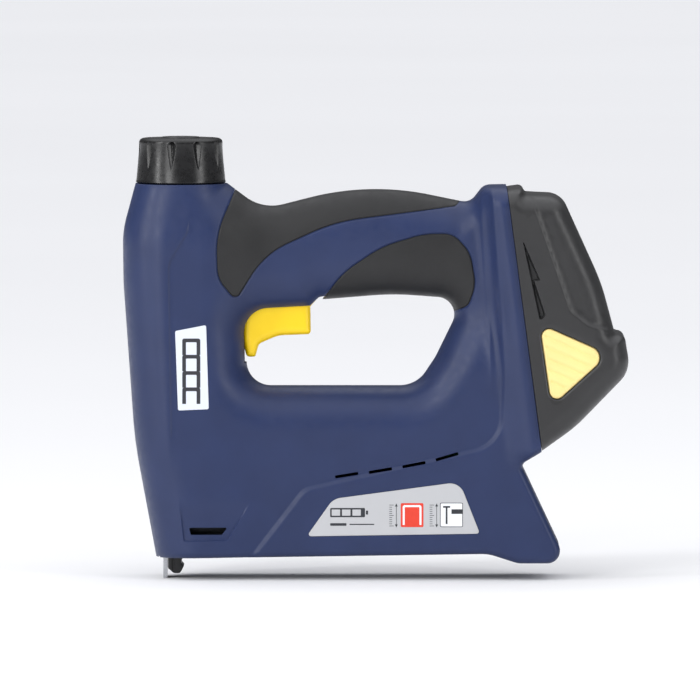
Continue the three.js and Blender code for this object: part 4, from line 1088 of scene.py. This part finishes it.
def battery_depth(points, inset=0):
    side = np.where(inside(cell_bay, points), -1, 1)
    proud = smooth(side * distance(ridge_line, False, points), -2, 0.2)
    edge = distance(battery_free_line, False, points) - inset
    rise = mix(BOX_FLAT, 1, bulge(edge, BOX_ROUND - inset))
    low = BATTERY_DEPTH - 1.5
    return LAND + (mix(low, BATTERY_DEPTH, proud) - inset - LAND) * rise


def battery_skin(points):
    depth = battery_depth(points)
    sunk = np.where(inside(wedge_line, points), 1, -1) * distance(wedge_line, True, points)
    depth = depth - 2.4 * smooth(sunk, -0.15, 0.5)
    around = distance(button_line, True, points)
    return depth - 0.5 * (1 - smooth(around, 0, 1.2))


def battery_half(name, depth, inset=0, back=GAP / 2, **grain):
    return slab(name, [battery_line], depth, level(back), inset=inset, **grain)


def button_face(points):
    """A crowned face with fine grooves along its upper edge."""
    crown = BATTERY_DEPTH - 0.6 - 1.1 * (1 - bulge(distance(button_line, True, points), 1.4))
    x, z = points.T
    start_x, start_z = GROOVE_START
    across = (z - start_z) * math.cos(BUTTON_SLOPE) + (x - start_x) * math.sin(BUTTON_SLOPE)
    saw = (-across / GROOVE_PITCH) % 1
    band = (across < GROOVE_PITCH * 0.5) & (across > -GROOVE_PITCH * (GRIP_GROOVES - 0.2))
    notch = np.exp(-((saw - 0.5) / 0.13) ** 2) * GROOVE_DEPTH
    return crown - notch * band * smooth(distance(button_line, True, points), 1, 1.6)


def build_battery():
    rows = beside(ridge_line, False, [-2, -1.5, -1, -0.5, 0, 0.6], 0.7)
    rows += beside(wedge_line, True, [-0.15, 0.1, 0.35, 0.7], 0.5)
    rows += beside(button_line, True, [-1.2, -0.8, -0.4], 0.7)
    case = battery_half("case_left", battery_skin, rings=edge_rings(BOX_ROUND, 14, 0.97), step=1,
                        grid=1.8, rows=rows)
    hollow = battery_half("hollow", lambda p: battery_depth(p, BATTERY_WALL), BATTERY_WALL, -3,
                          rings=edge_rings(6, 6), step=2, grid=5)
    case = cut(case, hollow)
    case = cut(case, prism(offset_line(button_line, -GAP), -FAR, -5))
    case = cut(case, box(-5, BATTERY_WALL + 2, -8, 8, PLUG["low"] + 3, PLUG["high"] - 3))
    case = cut(case, box(-50, GAP, -FAR, FAR, -20, 150))
    at_seam(case)
    twin = mirrored(case, "case_right")
    placed(case, "dark_plastic", "battery", "battery_case_left")
    placed(twin, "dark_plastic", "battery", "battery_case_right")
    for side, word in ((-1, "left"), (1, "right")):
        button = slab(f"release_{word}", [button_line], button_face, level(BUTTON_SEAT), side,
                      rings=edge_rings(1.4, 7, 0.99), step=0.6, grid=0.6)
        flange = prism(offset_line(button_line, -1.4), side * FLANGE_FACE, side * BUTTON_SEAT)
        placed(at_seam(join(button, flange)), "button_yellow", f"battery_button_{word}",
               f"battery_button_{word}")


# ---- springs ----

# node, axis, wire radius, turns, slot, body, joint that shortens it, how far
SPRINGS = [
    ("main_spring", 2, 1.4, 8, "dark_steel", "housing", "hammer_stroke", 22),
    ("trigger_spring", 2, 0.4, 4, "bright_steel", "housing", "trigger_pull", 2.7),
    ("safety_spring", 2, 0.35, 5, "bright_steel", "housing", "safety_contact_push", 2.3),
    ("pusher_spring", 0, 0.4, 12, "bright_steel", "magazine_tray", "pusher_slide", 60),
]
COIL_SIDES = 12
COIL_STEPS = 32  # per turn


def coil(name, low, high, axis, wire, turns):
    """A wire wound in a helix that fills the given box."""
    radius = (high.y - low.y) / 2 - wire
    half = (high[axis] - low[axis]) / 2 - wire
    steps = turns * COIL_STEPS
    around = np.linspace(0, 2 * math.pi, COIL_SIDES, endpoint=False)
    out = radius + wire * np.cos(around)
    rings = [np.column_stack([out * math.cos(angle), out * math.sin(angle),
                              climb + wire * np.sin(around)])
             for angle, climb in zip(np.linspace(0, 2 * math.pi * turns, steps + 1),
                                     np.linspace(-half, half, steps + 1))]
    verts = np.vstack(rings)
    if axis == 0:
        verts = verts[:, [2, 0, 1]]
    faces = [tuple(range(COIL_SIDES)),
             tuple(steps * COIL_SIDES + i for i in reversed(range(COIL_SIDES)))]
    for a in range(0, steps * COIL_SIDES, COIL_SIDES):
        b = a + COIL_SIDES
        faces += [(a + i, b + i, b + (i + 1) % COIL_SIDES, a + (i + 1) % COIL_SIDES)
                  for i in range(COIL_SIDES)]
    return new_object(name, verts + np.array((low + high) / 2), faces)


def build_springs():
    """Wire coils that fill the boxes of the spring nodes and take their places."""
    for node, axis, wire, turns, slot, body, joint, travel in SPRINGS:
        low, high = limits(node)
        wound = placed(coil(node + "_coil", low, high, axis, wire, turns), slot, body, node)
        direction = Vector((0, 0, 0))
        direction[axis] = 1
        anchor = (low + high) / 2
        anchor[axis] = high[axis]
        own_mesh(wound)


# ---- what stays from the frame ----


def dress_frame_nodes():
    """Gives every node that still shows its finished material."""
    for obj in bpy.data.objects:
        if obj.type == "MESH" and obj.name in frame["nodes"]:
            for place in obj.material_slots:
                if place.material and place.material.name in LOOKS:
                    place.material = LOOKS[place.material.name]


# ---- stage ----


def pale_paper():
    material, tree, surface, place = shader("pale_paper")
    tone = blended(tree, ranged(tree, noise(tree, place, 900, 2), 0, 1), linear(247, 247, 248),
                   linear(249, 249, 250))
    tree.links.new(tone, surface.inputs["Base Color"])
    surface.inputs["Roughness"].default_value = 0.9
    surface.inputs["Specular IOR Level"].default_value = 0.1
    bumped(tree, surface, noise(tree, place, 1.5, 3), 0.1, 0.02)
    return material


FLOOR_HALF = 20000


def build_stage():
    """A wide floor of pale paper that fills the view from any side."""
    half = FLOOR_HALF
    verts = [(-half, -half, 0), (half, -half, 0), (half, half, 0), (-half, half, 0)]
    floor = new_object("floor", verts, [(0, 1, 2, 3)], pale_paper())


def softbox(name, place, target, size, power):
    light = bpy.data.lights.new(name, "AREA")
    light.shape = "RECTANGLE"
    light.size, light.size_y = size
    light.energy = power
    obj = bpy.data.objects.new(name, light)
    bpy.context.scene.collection.objects.link(obj)
    obj.location = place
    obj.rotation_euler = (Vector(target) - Vector(place)).to_track_quat("-Z", "Y").to_euler()


def build_sky():
    """Bright overhead for a pale floor, dim at eye level so that flat sides stay deep."""
    world = bpy.data.worlds.new("studio")
    bpy.context.scene.world = world
    world.use_nodes = True
    tree = world.node_tree
    sky = tree.nodes["Background"]
    direction = tree.nodes.new("ShaderNodeTexCoord").outputs["Generated"]
    parts = tree.nodes.new("ShaderNodeSeparateXYZ")
    tree.links.new(direction, parts.inputs["Vector"])
    sky.inputs["Color"].default_value = (0.96, 0.97, 1, 1)
    tree.links.new(ranged(tree, parts.outputs["Z"], 0.12, 1.5, 0.45, 0.8), sky.inputs["Strength"])


def build_lights():
    middle = (-0.01, 0, 0.1)
    softbox("key_left", (-1.1, -1.7, 0.8), middle, (0.6, 1.4), 15)
    softbox("strip_left", (-2, -1, 0.9), middle, (0.35, 1.6), 16)
    softbox("fill_right", (1.6, -1.2, 0.7), middle, (0.45, 1.4), 11)


CAMERA = {"lens": 600, "sensor": 36, "view_width": 318.5, "aim": (-11.4, 0, 103.5), "height": 3.3}


def build_camera():
    data = bpy.data.cameras.new("camera")
    data.sensor_width = CAMERA["sensor"]
    data.lens = CAMERA["lens"]
    view_width = CAMERA["view_width"] * MM
    away = view_width * data.lens / data.sensor_width
    middle = Vector(CAMERA["aim"]) * MM
    height = math.radians(CAMERA["height"])
    camera = bpy.data.objects.new("camera", data)
    bpy.context.scene.collection.objects.link(camera)
    back = Vector((0, -math.cos(height), math.sin(height)))
    camera.location = middle + back * away
    camera.rotation_euler = (-back).to_track_quat("-Z", "Y").to_euler()
    data.clip_end = 20
    bpy.context.scene.camera = camera
    bpy.context.scene.view_settings.view_transform = "Standard"


build_housing()
build_labels()
build_knob()
build_trigger()
build_nose()
build_battery()
build_springs()
dress_frame_nodes()
build_stage()
build_sky()
build_lights()
build_camera()
